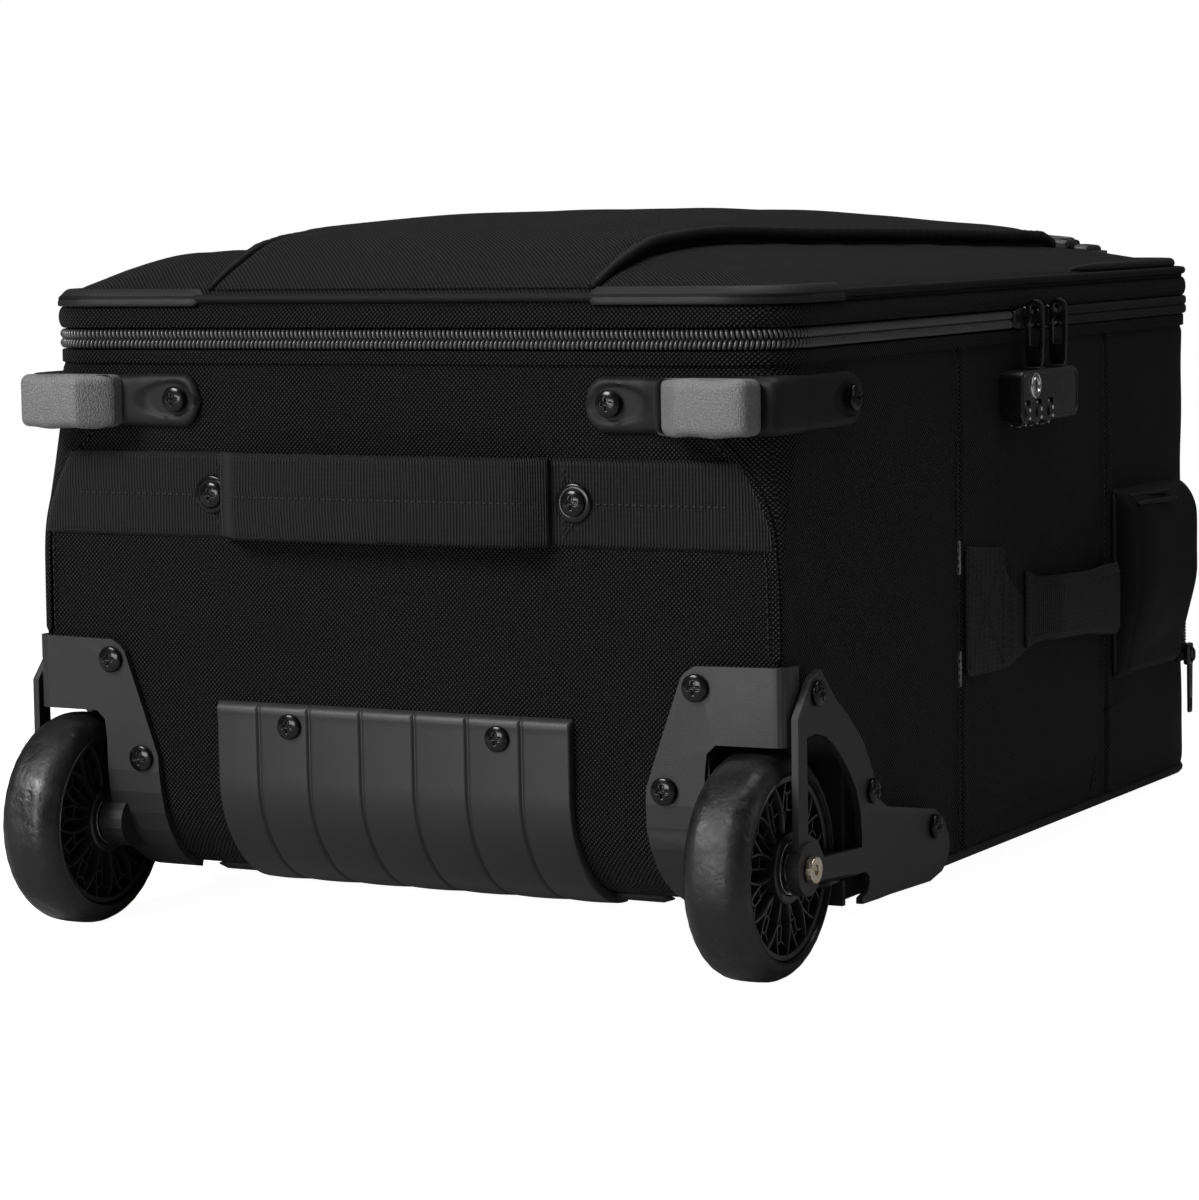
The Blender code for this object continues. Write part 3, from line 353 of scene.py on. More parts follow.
def grained(name, grain, colors, rough, bump, mottle=None, **finish):
    """Plain stuff with a fine grain.

    grain and mottle are settings of the noises behind the relief and the color, which share
    one noise without mottle. colors are greys or full colors. rough is a value, or the gain
    and offset applied to the grain. bump is a distance and a strength.
    """
    mat = new_material(name)
    fine = mat.noise(**grain)
    blotches = mat.noise(**mottle) if mottle else fine
    low, high = (c if isinstance(c, tuple) else grey(c) for c in colors)
    rough = mat.linear(fine, *rough) if isinstance(rough, tuple) else rough
    mat.surface(color=mat.color(blotches, low, high), rough=rough,
                normal=mat.bump(fine, *bump), **finish)


grained("coil", dict(scale=600), (0.030, 0.055), rough=(0.14, 0.24), bump=(0.00005, 0.4),
        spec=0.6, coat=0.25, coat_rough=0.25)
grained("gloss_black", dict(scale=420, detail=3), (0.0045, 0.010), rough=(0.16, 0.20),
        bump=(0.00006, 0.3), mottle=dict(scale=60), spec=0.55, coat=0.3, coat_rough=0.15)
grained("satin_black", dict(scale=1100), (0.0085, 0.016), rough=(0.2, 0.34),
        bump=(0.00008, 0.5), mottle=dict(scale=50, detail=3), spec=0.5)
grained("screw_black", dict(scale=700), (0.0022, 0.0055), rough=(0.10, 0.13),
        bump=(0.00003, 0.3), mottle=dict(scale=200), spec=0.22, coat=0.12, coat_rough=0.06)
grained("nickel", dict(scale=300, detail=3, stretch=(1, 8, 8)),
        ((0.50, 0.42, 0.31, 1), (0.78, 0.72, 0.60, 1)), rough=(0.16, 0.20),
        bump=(0.00004, 0.4), mottle=dict(scale=120, detail=3), metal=1.0)
grained("chrome", dict(scale=500), (0.62, 0.82), rough=(0.10, 0.10), bump=(0.00003, 0.3),
        metal=1.0)
grained("steel", dict(scale=260, detail=3, stretch=(6, 1, 6)), (0.38, 0.60),
        rough=(0.22, 0.22), bump=(0.00004, 0.5), metal=1.0)
grained("anodised", dict(scale=220, detail=3, stretch=(8, 1, 8)), (0.20, 0.33),
        rough=(0.18, 0.28), bump=(0.00003, 0.5), metal=1.0)
grained("hub_black", dict(scale=900), (0.009, 0.018), rough=(0.14, 0.30),
        bump=(0.00006, 0.4), mottle=dict(scale=80), spec=0.5)
grained("board", dict(scale=500, detail=3), (0.05, 0.085), rough=(0.2, 0.5),
        bump=(0.0001, 0.5), spec=0.4)
grained("fibre_rod", dict(scale=400, detail=3, stretch=(1, 1, 20)),
        ((0.40, 0.38, 0.28, 1), (0.58, 0.56, 0.46, 1)), rough=0.4, bump=(0.0001, 0.4), spec=0.5)
grained("thread_black", dict(scale=1200), (0.004, 0.010), rough=0.55, bump=(0.0001, 0.7),
        sheen=0.02)
grained("white_mark", dict(scale=1500), (0.55, 0.80), rough=0.5, bump=(0.00003, 0.4))


@material
def rubber(mat):
    """Scuffed tyre rubber, its colour mottled in patches as painted sheen."""
    mottle = mat.noise(scale=46, detail=4, roughness=0.6)
    fine = mat.noise(scale=900, detail=2)
    # Mask of the patches where the mottled colour shows: painted sheen.
    sheen_patches = mat.step(mat.noise(scale=16, detail=4), start=0.42, end=0.72)
    scuffs = mat.times(mat.step(mottle, start=0.35, end=0.66), 0.30)
    grain = mat.bump(fine, distance=0.00008, strength=0.5)
    mat.surface(color=mat.shade(mat.times(mottle, sheen_patches), low=0.006, high=0.020),
                rough=mat.plus(scuffs, 0.28), spec=0.45,
                normal=mat.bump(mottle, distance=0.0022, strength=0.75, under=grain))


@material
def lining(mat):
    """Grey lining cloth, faintly quilted."""
    across, along = mat.planar()
    weave = mat.weave(across, along, pitch=0.0008)
    quilt = mat.weave(across, along, pitch=0.018)
    blotches = mat.linear(mat.noise(scale=20, detail=3), gain=0.4, offset=0.3)
    light = mat.linear(weave, gain=0.25, offset=blotches)
    mat.surface(color=mat.shade(light, low=0.085, high=0.17), rough=0.66, spec=0.3, sheen=0.15,
                normal=mat.bump(weave, distance=0.00008, strength=0.6,
                                under=mat.bump(quilt, distance=0.0009, strength=0.2)))


@material
def foam_pad(mat):
    mat.surface(color=mat.shade(mat.noise(scale=30, detail=3), low=0.055, high=0.10),
                rough=0.8, spec=0.25, sheen=0.25,
                normal=mat.bump(mat.voronoi(scale=900), distance=0.0002, strength=0.6))


@material
def thread_grey(mat):
    twist = mat.wave(mat.split(mat.position)[2], period=0.0006)
    light = mat.linear(twist, gain=0.4, offset=0.5)
    mat.surface(color=mat.shade(light, low=0.17, high=0.36), rough=0.6, sheen=0.2,
                normal=mat.bump(twist, distance=0.0002, strength=0.8))


@material
def liner_dark(mat):
    weave = mat.weave(*mat.planar(), pitch=0.0010)
    light = mat.linear(weave, gain=0.3, offset=0.5)
    mat.surface(color=mat.shade(light, low=0.006, high=0.016), rough=0.7, spec=0.3,
                normal=mat.bump(weave, distance=0.0001, strength=0.5))


# ------------------------------------------------------------ objects and edits
def build(name, verts, faces, mats, body, slot=None, replaces=None, face_mats=None,
          sharp=None, flat=False):
    """Object from layout coordinates, riding on a CAD body; sharp is a crease angle."""
    verts = np.asarray(verts, float).reshape(-1, 3) + TO_FRAME
    mesh = bpy.data.meshes.new(name)
    mesh.from_pydata(verts.tolist(), [], [list(map(int, f)) for f in faces])
    for mat in ([mats] if isinstance(mats, str) else mats):
        mesh.materials.append(MATERIALS[mat])
    if face_mats is not None:
        mesh.polygons.foreach_set("material_index", np.asarray(face_mats, np.int32))
    bm = bmesh.new()
    bm.from_mesh(mesh)
    bmesh.ops.recalc_face_normals(bm, faces=bm.faces)
    bm.to_mesh(mesh)
    bm.free()
    if not flat:
        mesh.shade_smooth()
        if sharp:
            mesh.set_sharp_from_angle(angle=math.radians(sharp))
    mesh.update()
    obj = bpy.data.objects.new(name, mesh)
    bpy.context.scene.collection.objects.link(obj)
    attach(obj, body)
    if replaces:
        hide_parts(replaces)
    return obj


class Parts:
    """Gathers several shapes into one mesh."""

    def __init__(self):
        self.verts, self.faces, self.face_mats = [], [], []
        self.count = 0

    def add(self, verts, faces, mat=0):
        verts = np.asarray(verts, float).reshape(-1, 3)
        self.verts.append(verts)
        self.faces += [[i + self.count for i in f] for f in faces]
        self.face_mats += [mat] * len(faces)
        self.count += len(verts)
        return self

    def make(self, name, mats, body, **options):
        return build(name, np.concatenate(self.verts), self.faces, mats, body,
                     face_mats=self.face_mats, **options)


def bake_modifiers(obj):
    depsgraph = bpy.context.evaluated_depsgraph_get()
    mesh = bpy.data.meshes.new_from_object(obj.evaluated_get(depsgraph), depsgraph=depsgraph)
    obj.modifiers.clear()
    obj.data = mesh


def cut(obj, parts, mat):
    """Subtracts the gathered shapes from an object."""
    cutter = parts.make("cutter", [mat], "case", flat=True)
    boolean = obj.modifiers.new("cut", "BOOLEAN")
    boolean.operation, boolean.solver, boolean.object = "DIFFERENCE", "MANIFOLD", cutter
    bake_modifiers(obj)
    bpy.data.objects.remove(cutter, do_unlink=True)


def subdivide(obj):
    subsurf = obj.modifiers.new("sub", "SUBSURF")
    subsurf.levels = subsurf.render_levels = 1
    bake_modifiers(obj)


def smooth_to(obj, angle):
    obj.data.shade_smooth()
    obj.data.set_sharp_from_angle(angle=math.radians(angle))


def read_vectors(collection, attribute):
    flat = np.empty(len(collection) * 3)
    collection.foreach_get(attribute, flat)
    return flat.reshape(-1, 3)


def coords(obj):
    return read_vectors(obj.data.vertices, "co")


def layout(obj):
    return coords(obj) - TO_FRAME


def normals(obj):
    return read_vectors(obj.data.vertex_normals, "vector")


def set_coords(obj, verts):
    obj.data.vertices.foreach_set("co", verts.ravel())
    obj.data.update()


def displace(obj, distance):
    set_coords(obj, coords(obj) + normals(obj) * distance[:, None])


def cloth(obj, pinned, pressure, cap, frames, stiff, bend):
    """Swells a mesh as padded cloth held at the pinned points, by no more than cap."""
    scene = bpy.context.scene
    rest = coords(obj)
    group = obj.vertex_groups.new(name="pin")
    group.add([int(i) for i in np.where(pinned)[0]], 1.0, "REPLACE")
    modifier = obj.modifiers.new("cloth", "CLOTH")
    settings = modifier.settings
    settings.quality = 5
    settings.mass = 0.25
    settings.air_damping = 3.0
    settings.tension_stiffness = settings.compression_stiffness = stiff
    settings.shear_stiffness = stiff * 0.6
    settings.bending_stiffness = bend
    settings.vertex_group_mass = "pin"
    settings.use_pressure = True
    settings.uniform_pressure_force = pressure
    settings.effector_weights.gravity = 0.0
    modifier.collision_settings.use_collision = False
    modifier.collision_settings.use_self_collision = False
    modifier.point_cache.frame_start, modifier.point_cache.frame_end = 1, frames
    for i in range(1, frames + 1):
        scene.frame_set(i)
    evaluated = obj.evaluated_get(bpy.context.evaluated_depsgraph_get())
    swollen = read_vectors(evaluated.to_mesh().vertices, "co")
    evaluated.to_mesh_clear()
    obj.modifiers.remove(modifier)
    obj.vertex_groups.clear()
    scene.frame_set(1)
    move = swollen - rest
    size = np.linalg.norm(move, axis=1, keepdims=True)
    set_coords(obj, rest + move * np.minimum(1.0, cap / np.maximum(size, 1e-9)))


# ------------------------------------------------------------- curves and meshes
def points(*columns):
    """Stacks numbers and arrays into points, spreading each to the shape of the rest."""
    return np.stack(np.broadcast_arrays(*columns), -1)


def quads(rows, cols, wrap_rows=False, wrap_cols=False, base=0):
    faces = []
    for i in range(rows if wrap_rows else rows - 1):
        for j in range(cols if wrap_cols else cols - 1):
            row, next_row = base + i * cols, base + (i + 1) % rows * cols
            next_j = (j + 1) % cols
            faces.append((row + j, next_row + j, next_row + next_j, row + next_j))
    return faces


def tube_faces(rows, sides):
    last = (rows - 1) * sides
    caps = [list(range(sides)), list(range(last, last + sides))[::-1]]
    return quads(rows, sides, wrap_cols=True) + caps


def ring_faces(rings, count):
    """Walls between stacked closed rings of points."""
    return [(k * count + i, k * count + (i + 1) % count,
             (k + 1) * count + (i + 1) % count, (k + 1) * count + i)
            for k in range(rings - 1) for i in range(count)]


def rim_walls(rim, count):
    """Walls from a loop of points to the same loop count points later."""
    following = np.roll(rim, -1)
    return [(a, b, b + count, a + count) for a, b in zip(rim, following)]


def sheet(upper, lower):
    """Closed slab between two grids of points."""
    rows, cols = upper.shape[:2]
    count = rows * cols
    faces = quads(rows, cols)
    index = np.arange(count).reshape(rows, cols)
    rim = np.concatenate([index[:, 0], index[-1, 1:], index[-2::-1, -1], index[0, -2:0:-1]])
    under = [tuple(i + count for i in f)[::-1] for f in faces]
    verts = np.vstack([upper.reshape(-1, 3), lower.reshape(-1, 3)])
    return verts, faces + under + rim_walls(rim, count)


def unit(vectors):
    vectors = np.asarray(vectors, float)
    return vectors / np.maximum(np.linalg.norm(vectors, axis=-1, keepdims=True), 1e-12)


def distances(path):
    """Distance travelled to each point of a path."""
    return np.concatenate([[0], np.cumsum(np.linalg.norm(np.diff(path, axis=0), axis=1))])


def resample(path, step, closed=False):
    path = np.asarray(path, float)
    if closed:
        path = np.vstack([path, path[:1]])
    travelled = distances(path)
    count = max(3, int(round(travelled[-1] / step)) + 1)
    stops = np.linspace(0, travelled[-1], count)
    even = np.stack([np.interp(stops, travelled, column) for column in path.T], 1)
    return even[:-1] if closed else even


def soften(values, times):
    values = np.array(values, float)
    for _ in range(times):
        values[1:-1] = (values[:-2] + 2 * values[1:-1] + values[2:]) / 4
    return values


def path_frames(path, normal, closed=False):
    """Tangents, normals and sideways directions along a path."""
    path = np.asarray(path, float)
    step = np.roll(path, -1, 0) - np.roll(path, 1, 0) if closed else np.gradient(path, axis=0)
    tangent = unit(step)
    normal = np.broadcast_to(np.asarray(normal, float), path.shape)
    normal = unit(normal - tangent * (normal * tangent).sum(1, keepdims=True))
    return tangent, normal, np.cross(normal, tangent)


def sweep(path, normal, profile, closed=False, taper=0.0):
    """Profile of (side, out) pairs carried along a path; open paths get closed ends."""
    path = np.asarray(path, float)
    _, out, side = path_frames(path, normal, closed)
    profile = np.asarray(profile, float)
    size = np.ones(len(path))
    if taper:
        travelled = distances(path)
        end = np.clip(np.minimum(travelled, travelled[-1] - travelled) / taper, 0.02, 1)
        size = np.sqrt(end * (2 - end))
    size = size[:, None, None]
    verts = (path[:, None] + side[:, None] * profile[:, :1] * size
             + out[:, None] * profile[:, 1:] * size)
    rows, sides = len(path), len(profile)
    faces = quads(rows, sides, True, True) if closed else tube_faces(rows, sides)
    return verts.reshape(-1, 3), faces


def round_profile(radius, count=10, wide=1.0, tall=1.0):
    turn = np.linspace(0, 2 * math.pi, count, endpoint=False)
    return points(radius * wide * np.cos(turn), radius * tall * np.sin(turn))


def half_oval(half_width, height, count, sink=0.0):
    turn = np.linspace(0, math.pi, count)
    return points(half_width * np.cos(turn), height * np.sin(turn) - sink)


def band_profile(width, thick, radius=None):
    """Flat band lying on the surface, with rounded upper edges."""
    radius = min(radius or thick * 0.6, thick * 0.9, width * 0.45)
    half, top, base = width / 2, thick - radius, -0.0006
    turn = np.linspace(0, math.pi / 2, 4)
    rise = [(-half + radius - radius * math.cos(a), top + radius * math.sin(a)) for a in turn[1:]]
    fall = [(half - radius + radius * math.sin(a), top + radius * math.cos(a)) for a in turn[:-1]]
    return [(-half, base), (-half, top)] + rise + fall + [(half, top), (half, base)]


def soft_box(corner_a, corner_b, radius, cuts=4, arc=4, crown=(0, 0, 0)):
    """Rounded box; crown swells the middle of each pair of faces."""
    low, high = np.minimum(corner_a, corner_b), np.maximum(corner_a, corner_b)
    centre, half = (low + high) / 2, (high - low) / 2
    radius = min(radius, half.min() * 0.999)
    inset = radius * (1 - np.cos(np.linspace(0, math.pi / 2, arc + 1)))[:-1]
    lines = [np.concatenate([-h + inset, np.linspace(-h + radius, h - radius, cuts + 2),
                             (h - inset)[::-1]]) for h in half]
    verts, faces, known = [], [], {}

    def vertex(place):
        key = tuple(np.round(place, 9))
        if key not in known:
            known[key] = len(verts)
            inner = np.clip(place, -(half - radius), half - radius)
            out = place - inner
            size = np.linalg.norm(out)
            spot = inner + (out / size * radius if size > 1e-12 else 0)
            share = spot / half
            for a in range(3):
                fade = [max(0, 1 - share[b % 3] ** 2) for b in (a + 1, a + 2)]
                spot[a] += np.sign(share[a]) * crown[a] * abs(share[a]) * fade[0] * fade[1]
            verts.append(spot + centre)
        return known[key]

    for a in range(3):
        b, c = (a + 1) % 3, (a + 2) % 3
        for side in (-1, 1):
            for i in range(len(lines[b]) - 1):
                for j in range(len(lines[c]) - 1):
                    face = []
                    for m, n in ((i, j), (i + 1, j), (i + 1, j + 1), (i, j + 1)):
                        place = np.zeros(3)
                        place[a], place[b], place[c] = side * half[a], lines[b][m], lines[c][n]
                        face.append(vertex(place))
                    faces.append(face if side > 0 else face[::-1])
    return np.array(verts), faces


def lathe(profile, centre, axis, count=64):
    """Closed profile of (radius, along) pairs turned about an axis through centre."""
    axis = np.asarray(axis, float)
    start = np.array((0, 0, 1.0)) if abs(axis[2]) < 0.9 else np.array((1.0, 0, 0))
    profile = np.asarray(profile, float)
    turn = np.linspace(0, 2 * math.pi, count, endpoint=False)[:, None]
    spokes = np.cos(turn) * start + np.sin(turn) * np.cross(axis, start)
    verts = np.asarray(centre) + spokes[:, None] * profile[:, :1] + axis * profile[:, 1:]
    return verts.reshape(-1, 3), quads(count, len(profile), True, True)


def mirrored(half, middle=()):
    """Lathe profile completed by its reflection in the middle plane."""
    return list(half) + list(middle) + [(r, -along) for r, along in reversed(half)]


def fillet(corners, radius, count=4):
    """Round the corners of a closed 2-D polygon."""
    corners = [np.asarray(p, float) for p in corners]
    rounded = []
    for i, corner in enumerate(corners):
        to_last, to_next = corners[i - 1] - corner, corners[(i + 1) % len(corners)] - corner
        back, ahead = unit(to_last), unit(to_next)
        angle = math.acos(float(np.clip(np.dot(back, ahead), -1, 1)))
        if angle > 3.05:                               # all but straight
            rounded.append(tuple(corner))
            continue
        reach = min(radius / math.tan(angle / 2), 0.48 * np.linalg.norm(to_last),
                    0.48 * np.linalg.norm(to_next))
        bend = reach * math.tan(angle / 2)
        centre = corner + unit(back + ahead) * (bend / math.sin(angle / 2))
        start, end = corner + back * reach - centre, corner + ahead * reach - centre
        for t in np.linspace(0, 1, count + 1):
            rounded.append(tuple(centre + unit(start * (1 - t) + end * t) * bend))
    return rounded


def circle(centre, radius, count):
    turn = np.linspace(0, 2 * math.pi, count, endpoint=False)
    return [(centre[0] + radius * math.cos(a), centre[1] + radius * math.sin(a)) for a in turn]


def plate(outline, holes, low, high, plane, bevel, segments=2):
    """Flat plate cut from an outline in the YZ or XZ plane, with softened edges."""
    bm = bmesh.new()
    edges = []
    for loop in [outline] + holes:
        verts = [bm.verts.new((low, u, v) if plane == "YZ" else (u, low, v)) for u, v in loop]
        edges += [bm.edges.new((verts[i], verts[(i + 1) % len(verts)])) for i in range(len(verts))]
    bmesh.ops.triangle_fill(bm, edges=edges, use_beauty=True)
    inner = [e for e in bm.edges if not e.is_boundary]
    bmesh.ops.dissolve_limit(bm, angle_limit=0.01, verts=bm.verts, edges=inner)
    extruded = bmesh.ops.extrude_face_region(bm, geom=bm.faces[:])
    moved = [v for v in extruded["geom"] if isinstance(v, bmesh.types.BMVert)]
    thick = high - low
    bmesh.ops.translate(bm, vec=(thick, 0, 0) if plane == "YZ" else (0, thick, 0), verts=moved)
    bmesh.ops.recalc_face_normals(bm, faces=bm.faces)
    sharp = [e for e in bm.edges if len(e.link_faces) == 2 and e.calc_face_angle(0) > 1.2]
    bmesh.ops.bevel(bm, geom=sharp, offset=bevel, segments=segments, affect="EDGES",
                    profile=0.6, clamp_overlap=True)
    bmesh.ops.triangulate(bm, faces=[f for f in bm.faces if len(f.verts) > 4])
    verts = np.array([v.co[:] for v in bm.verts])
    bm.verts.index_update()
    faces = [[v.index for v in f.verts] for f in bm.faces]
    bm.free()
    return verts, faces


def ripple(places, seed, height):
    """Sum of a few fixed plane waves: gentle unevenness that is the same every run."""
    random = np.random.RandomState(seed)
    total = np.zeros(places.shape[:-1])
    for _ in range(9):
        direction = unit(random.normal(size=3)) * 2 * math.pi / random.uniform(0.018, 0.085)
        total += np.sin(places @ direction + random.uniform(0, 6.28))
    return total * height / 3.0


STITCH_PITCH, STITCH_LENGTH, STITCH_R = 0.0034, 0.0022, 0.00026


def stitches(parts, path, normal, lift=0.0002):
    path = resample(path, 0.002)
    frames = (path,) + path_frames(path, normal)[:2]
    travelled = distances(path)
    for stop in np.arange(STITCH_PITCH * 0.5, travelled[-1] - STITCH_LENGTH * 0.5, STITCH_PITCH):
        place, along, out = (np.array([np.interp(stop, travelled, column) for column in values.T])
                             for values in frames)
        along, out = unit(along), unit(out)
        side = np.cross(out, along)
        verts = []
        for share, size in ((-0.5, 0.25), (-0.3, 1.0), (0.3, 1.0), (0.5, 0.25)):
            height = lift + (0 if size < 1 else STITCH_R * 0.5)
            base = place + along * share * STITCH_LENGTH + out * height
            verts += [base + (side * math.cos(a) + out * math.sin(a)) * STITCH_R * size
                      for a in (0, 1.257, 2.513, 3.77, 5.027)]
        parts.add(verts, tube_faces(4, 5))


# ------------------------------------------------------------ outline of the bag
def rounding(z, radius):
    """How far a wall that ends in a rounded lower edge is drawn in at a height."""
    below = np.clip(radius - z, 0, radius)
    return float(radius - np.sqrt(max(radius ** 2 - below ** 2, 0)))


def stations(low, high, step, dense=(), width=0.006, fine=0.0022):
    """Positions a step apart, finer within a width of the dense places."""
    stops = [low]
    while stops[-1] < high - 1e-9:
        here, size = stops[-1], step
        for place in dense:
            gap = abs(here - place)
            if gap < width + step or here < place < here + step:
                size = fine if gap < width else min(size, max(fine, gap - width))
        stops.append(min(high, here + size))
    if high - stops[-2] < step * 0.4 and len(stops) > 2:
        stops.pop(-2)
    return np.array(stops)


SIDE_Y = stations(0.065, 0.445, 0.0065, SIDE_SEAMS_Y)
FRONT_X = stations(-0.140, 0.140, 0.0065)


def quarter(x, y, radius, start, count=13):
    turn = np.radians(np.linspace(start, start + 90, count))
    return points(x + radius * np.cos(turn), y + radius * np.sin(turn))


def body_loop(z, offset=0.0):
    """Closed outline of the body at a height, with the same count of points at each.

    It runs counter-clockwise from the +x corner of the wheel end.
    """
    inset = rounding(z, EDGE_R)
    half = HALF_W - inset + offset
    near, far = rounding(z, HEEL_R) - offset, LENGTH - rounding(z, TAIL_R) + offset
    front_r = max(table(FRONT_RADII, z) + offset, 0.0012)
    rear_r = max(REAR_R - inset + offset, 0.002)
    start, end = near + front_r, far - rear_r
    front_x, rear_x = half - front_r, half - rear_r
    right = np.concatenate([np.linspace(start, max(SIDE_Y[0], start + 0.004), 10)[1:-1],
                            np.maximum(SIDE_Y, start + 0.005),
                            np.linspace(max(SIDE_Y[-1], start + 0.006), end, 4)[1:-1]])
    front = np.concatenate([np.linspace(-front_x, FRONT_X[0], 6)[1:-1], FRONT_X,
                            np.linspace(FRONT_X[-1], front_x, 6)[1:-1]])
    plan = np.concatenate([
        quarter(front_x, start, front_r, 270, 9), points(half, right),
        quarter(rear_x, end, rear_r, 0), points(np.linspace(rear_x, -rear_x, 42)[1:-1], far),
        quarter(-rear_x, end, rear_r, 90), points(-half, right[::-1]),
        quarter(-front_x, start, front_r, 180, 9), points(front, near)])
    return points(plan[:, 0], plan[:, 1], z)


def loop_normal(loop):
    step = np.roll(loop, -1, 0) - np.roll(loop, 1, 0)
    return unit(points(step[:, 1], -step[:, 0], 0.0))


def even_loop(z, offset, step):
    """Evenly spaced body outline with outward normals."""
    loop = resample(body_loop(z, offset), step, True)
    return loop, loop_normal(loop)


def sub_loop(loop, values, start, end):
    """Part of a closed loop from the point nearest start, going round, to that nearest end."""
    first, last = (int(np.argmin(np.linalg.norm(loop[:, :2] - p, axis=1))) for p in (start, end))
    if last <= first:
        last += len(loop)
    index = np.arange(first, last + 1) % len(loop)
    return loop[index], values[index]


def corner_setback(x, z):
    """How far the rounded corners fall back from the plane of the wheel-end face."""
    radius = table(FRONT_RADII, z)
    over = np.maximum(0.0, np.abs(x) - (HALF_W - radius))
    depth = radius - np.sqrt(np.maximum(radius ** 2 - over ** 2, 1e-9))
    return np.where(over < radius, depth, radius)


# --------------------------------------------------------------- fabric body
def body_levels():
    heel = HEEL_R * (1 - np.cos(np.linspace(0, math.pi / 2, 13)))
    wall = stations(HEEL_R, RIM_Z, 0.0062, dense=(0.2285,), width=0.004)[1:]
    edge = [0.0008, 0.0018, 0.0035, 0.0060, 0.0100]
    return sorted(set(np.round(list(heel) + list(wall) + edge, 5)))


def body_pins(obj):
    """Points held along the rim, back edge, wheel-end corners and heel, and side seams."""
    x, y, z = layout(obj).T
    x = np.abs(x)
    pinned = (z > RIM_Z - 0.004) | (z < 0.012)
    for seam in SIDE_SEAMS_Y:
        pinned |= (x > HALF_W - 0.002) & (np.abs(y - seam) < 0.0030)
    pinned |= (y < 0.10) & (z < 0.110) & (x > 0.115)
    pinned |= (y < 0.08) & (z > 0.140) & (x > 0.09)
    pinned |= (y < 0.05) & (z < 0.085)
    pinned |= (np.abs(y - 0.005) < 0.02) & (x > 0.174)
    return pinned | (y > 0.499) & (z < 0.045)


def shape_body(obj):
    """Draws in the seams, with puckers beside them, and slackens the wheel-end face."""
    place, facing = layout(obj), normals(obj)
    x, y, z = place.T
    on_side = smooth((np.abs(facing[:, 0]) - 0.6) / 0.3)
    on_face = smooth((-facing[:, 1] - 0.6) / 0.3)
    away = smooth((z - 0.010) / 0.03) * smooth((RIM_Z - z) / 0.02)
    swell = ripple(place, seed=3, height=0.00028) * away
    for seam in SIDE_SEAMS_Y:
        gap = y - seam
        swell -= on_side * 0.0011 * bell(gap, 0.0021)
        swell += on_side * 0.00035 * bell(np.abs(gap) - 0.0048, 0.0022)
        pucker = np.sin(z * 2 * math.pi / 0.0125 + 3 * seam)
        swell += on_side * 0.00022 * pucker * bell(gap, 0.012)
    swell -= 0.0008 * bell(z - 0.2262, 0.0016)
    swell += on_face * 0.0007 * np.sin((x + 0.09) * 17) * bell(z - 0.115, 0.03)
    displace(obj, swell)


def thicken_body(obj):
    """Closes the back, gives the cover its thickness, cuts the wells and the handle opening."""
    bm = bmesh.new()
    bm.from_mesh(obj.data)
    low = [e for e in bm.edges if e.is_boundary and all(v.co.z < 0.001 for v in e.verts)]
    bmesh.ops.contextual_create(bm, geom=low)
    bmesh.ops.recalc_face_normals(bm, faces=bm.faces)
    bm.to_mesh(obj.data)
    bm.free()
    solid = obj.modifiers.new("thick", "SOLIDIFY")
    solid.thickness, solid.offset = 0.0036, -1.0
    solid.material_offset, solid.material_offset_rim = 1, 0
    solid.use_even_offset = False
    bake_modifiers(obj)
    openings = Parts()
    for side in (-1, 1):
        openings.add(*soft_box((side * (WELL_X + 0.0002), -0.03, -0.03),
                               (side * 0.21, WELL_Y, WELL_Z), 0.0015, 1, 1))
    openings.add(*soft_box((-0.1080, 0.470, 0.00405), (0.1080, 0.540, 0.0354), 0.0010, 1, 1))
    for side in (-1, 1):                               # holes round the axles
        inner, outer = sorted((side * 0.1390, side * 0.1600))
        ring = [(0.0001, inner), (0.0121, inner), (0.0121, outer), (0.0001, outer)]
        openings.add(*lathe(ring, (0, AXLE_Y, AXLE_Z), (1, 0, 0), 24))
    cut(obj, openings, "liner_dark")
    smooth_to(obj, 50)


def make_body():
    rings = [body_loop(z) for z in body_levels()]
    obj = build("body_cover", np.concatenate(rings), ring_faces(len(rings), len(rings[0])),
                ["ballistic", "liner_dark"], "case", "ballistic_nylon", "body_shell")
    cloth(obj, body_pins(obj), pressure=2.5, cap=0.0016, frames=16, stiff=40, bend=6)
    subdivide(obj)
    shape_body(obj)
    thicken_body(obj)


# ------------------------------------------------------------- back and lining
def make_back_piping():
    """Piping round the edge of the back, interrupted at the wheels."""
    loop, outward = even_loop(0.0012, 0.0, 0.005)
    keep = ~((np.abs(loop[:, 0]) > 0.118) & (loop[:, 1] < 0.075))
    loop[:, 2] = 0.0004
    order = np.roll(np.arange(len(loop)), -int(np.argmin(keep)))
    parts = Parts()
    for run in np.split(order, np.flatnonzero(~keep[order])):
        run = run[keep[run]]
        if len(run) > 4:
            out = unit(outward[run] + (0, 0, -1.0))
            parts.add(*sweep(loop[run], out, round_profile(0.0021), taper=0.006))
    parts.make("back_piping", ["binding"], "case", slot="webbing")


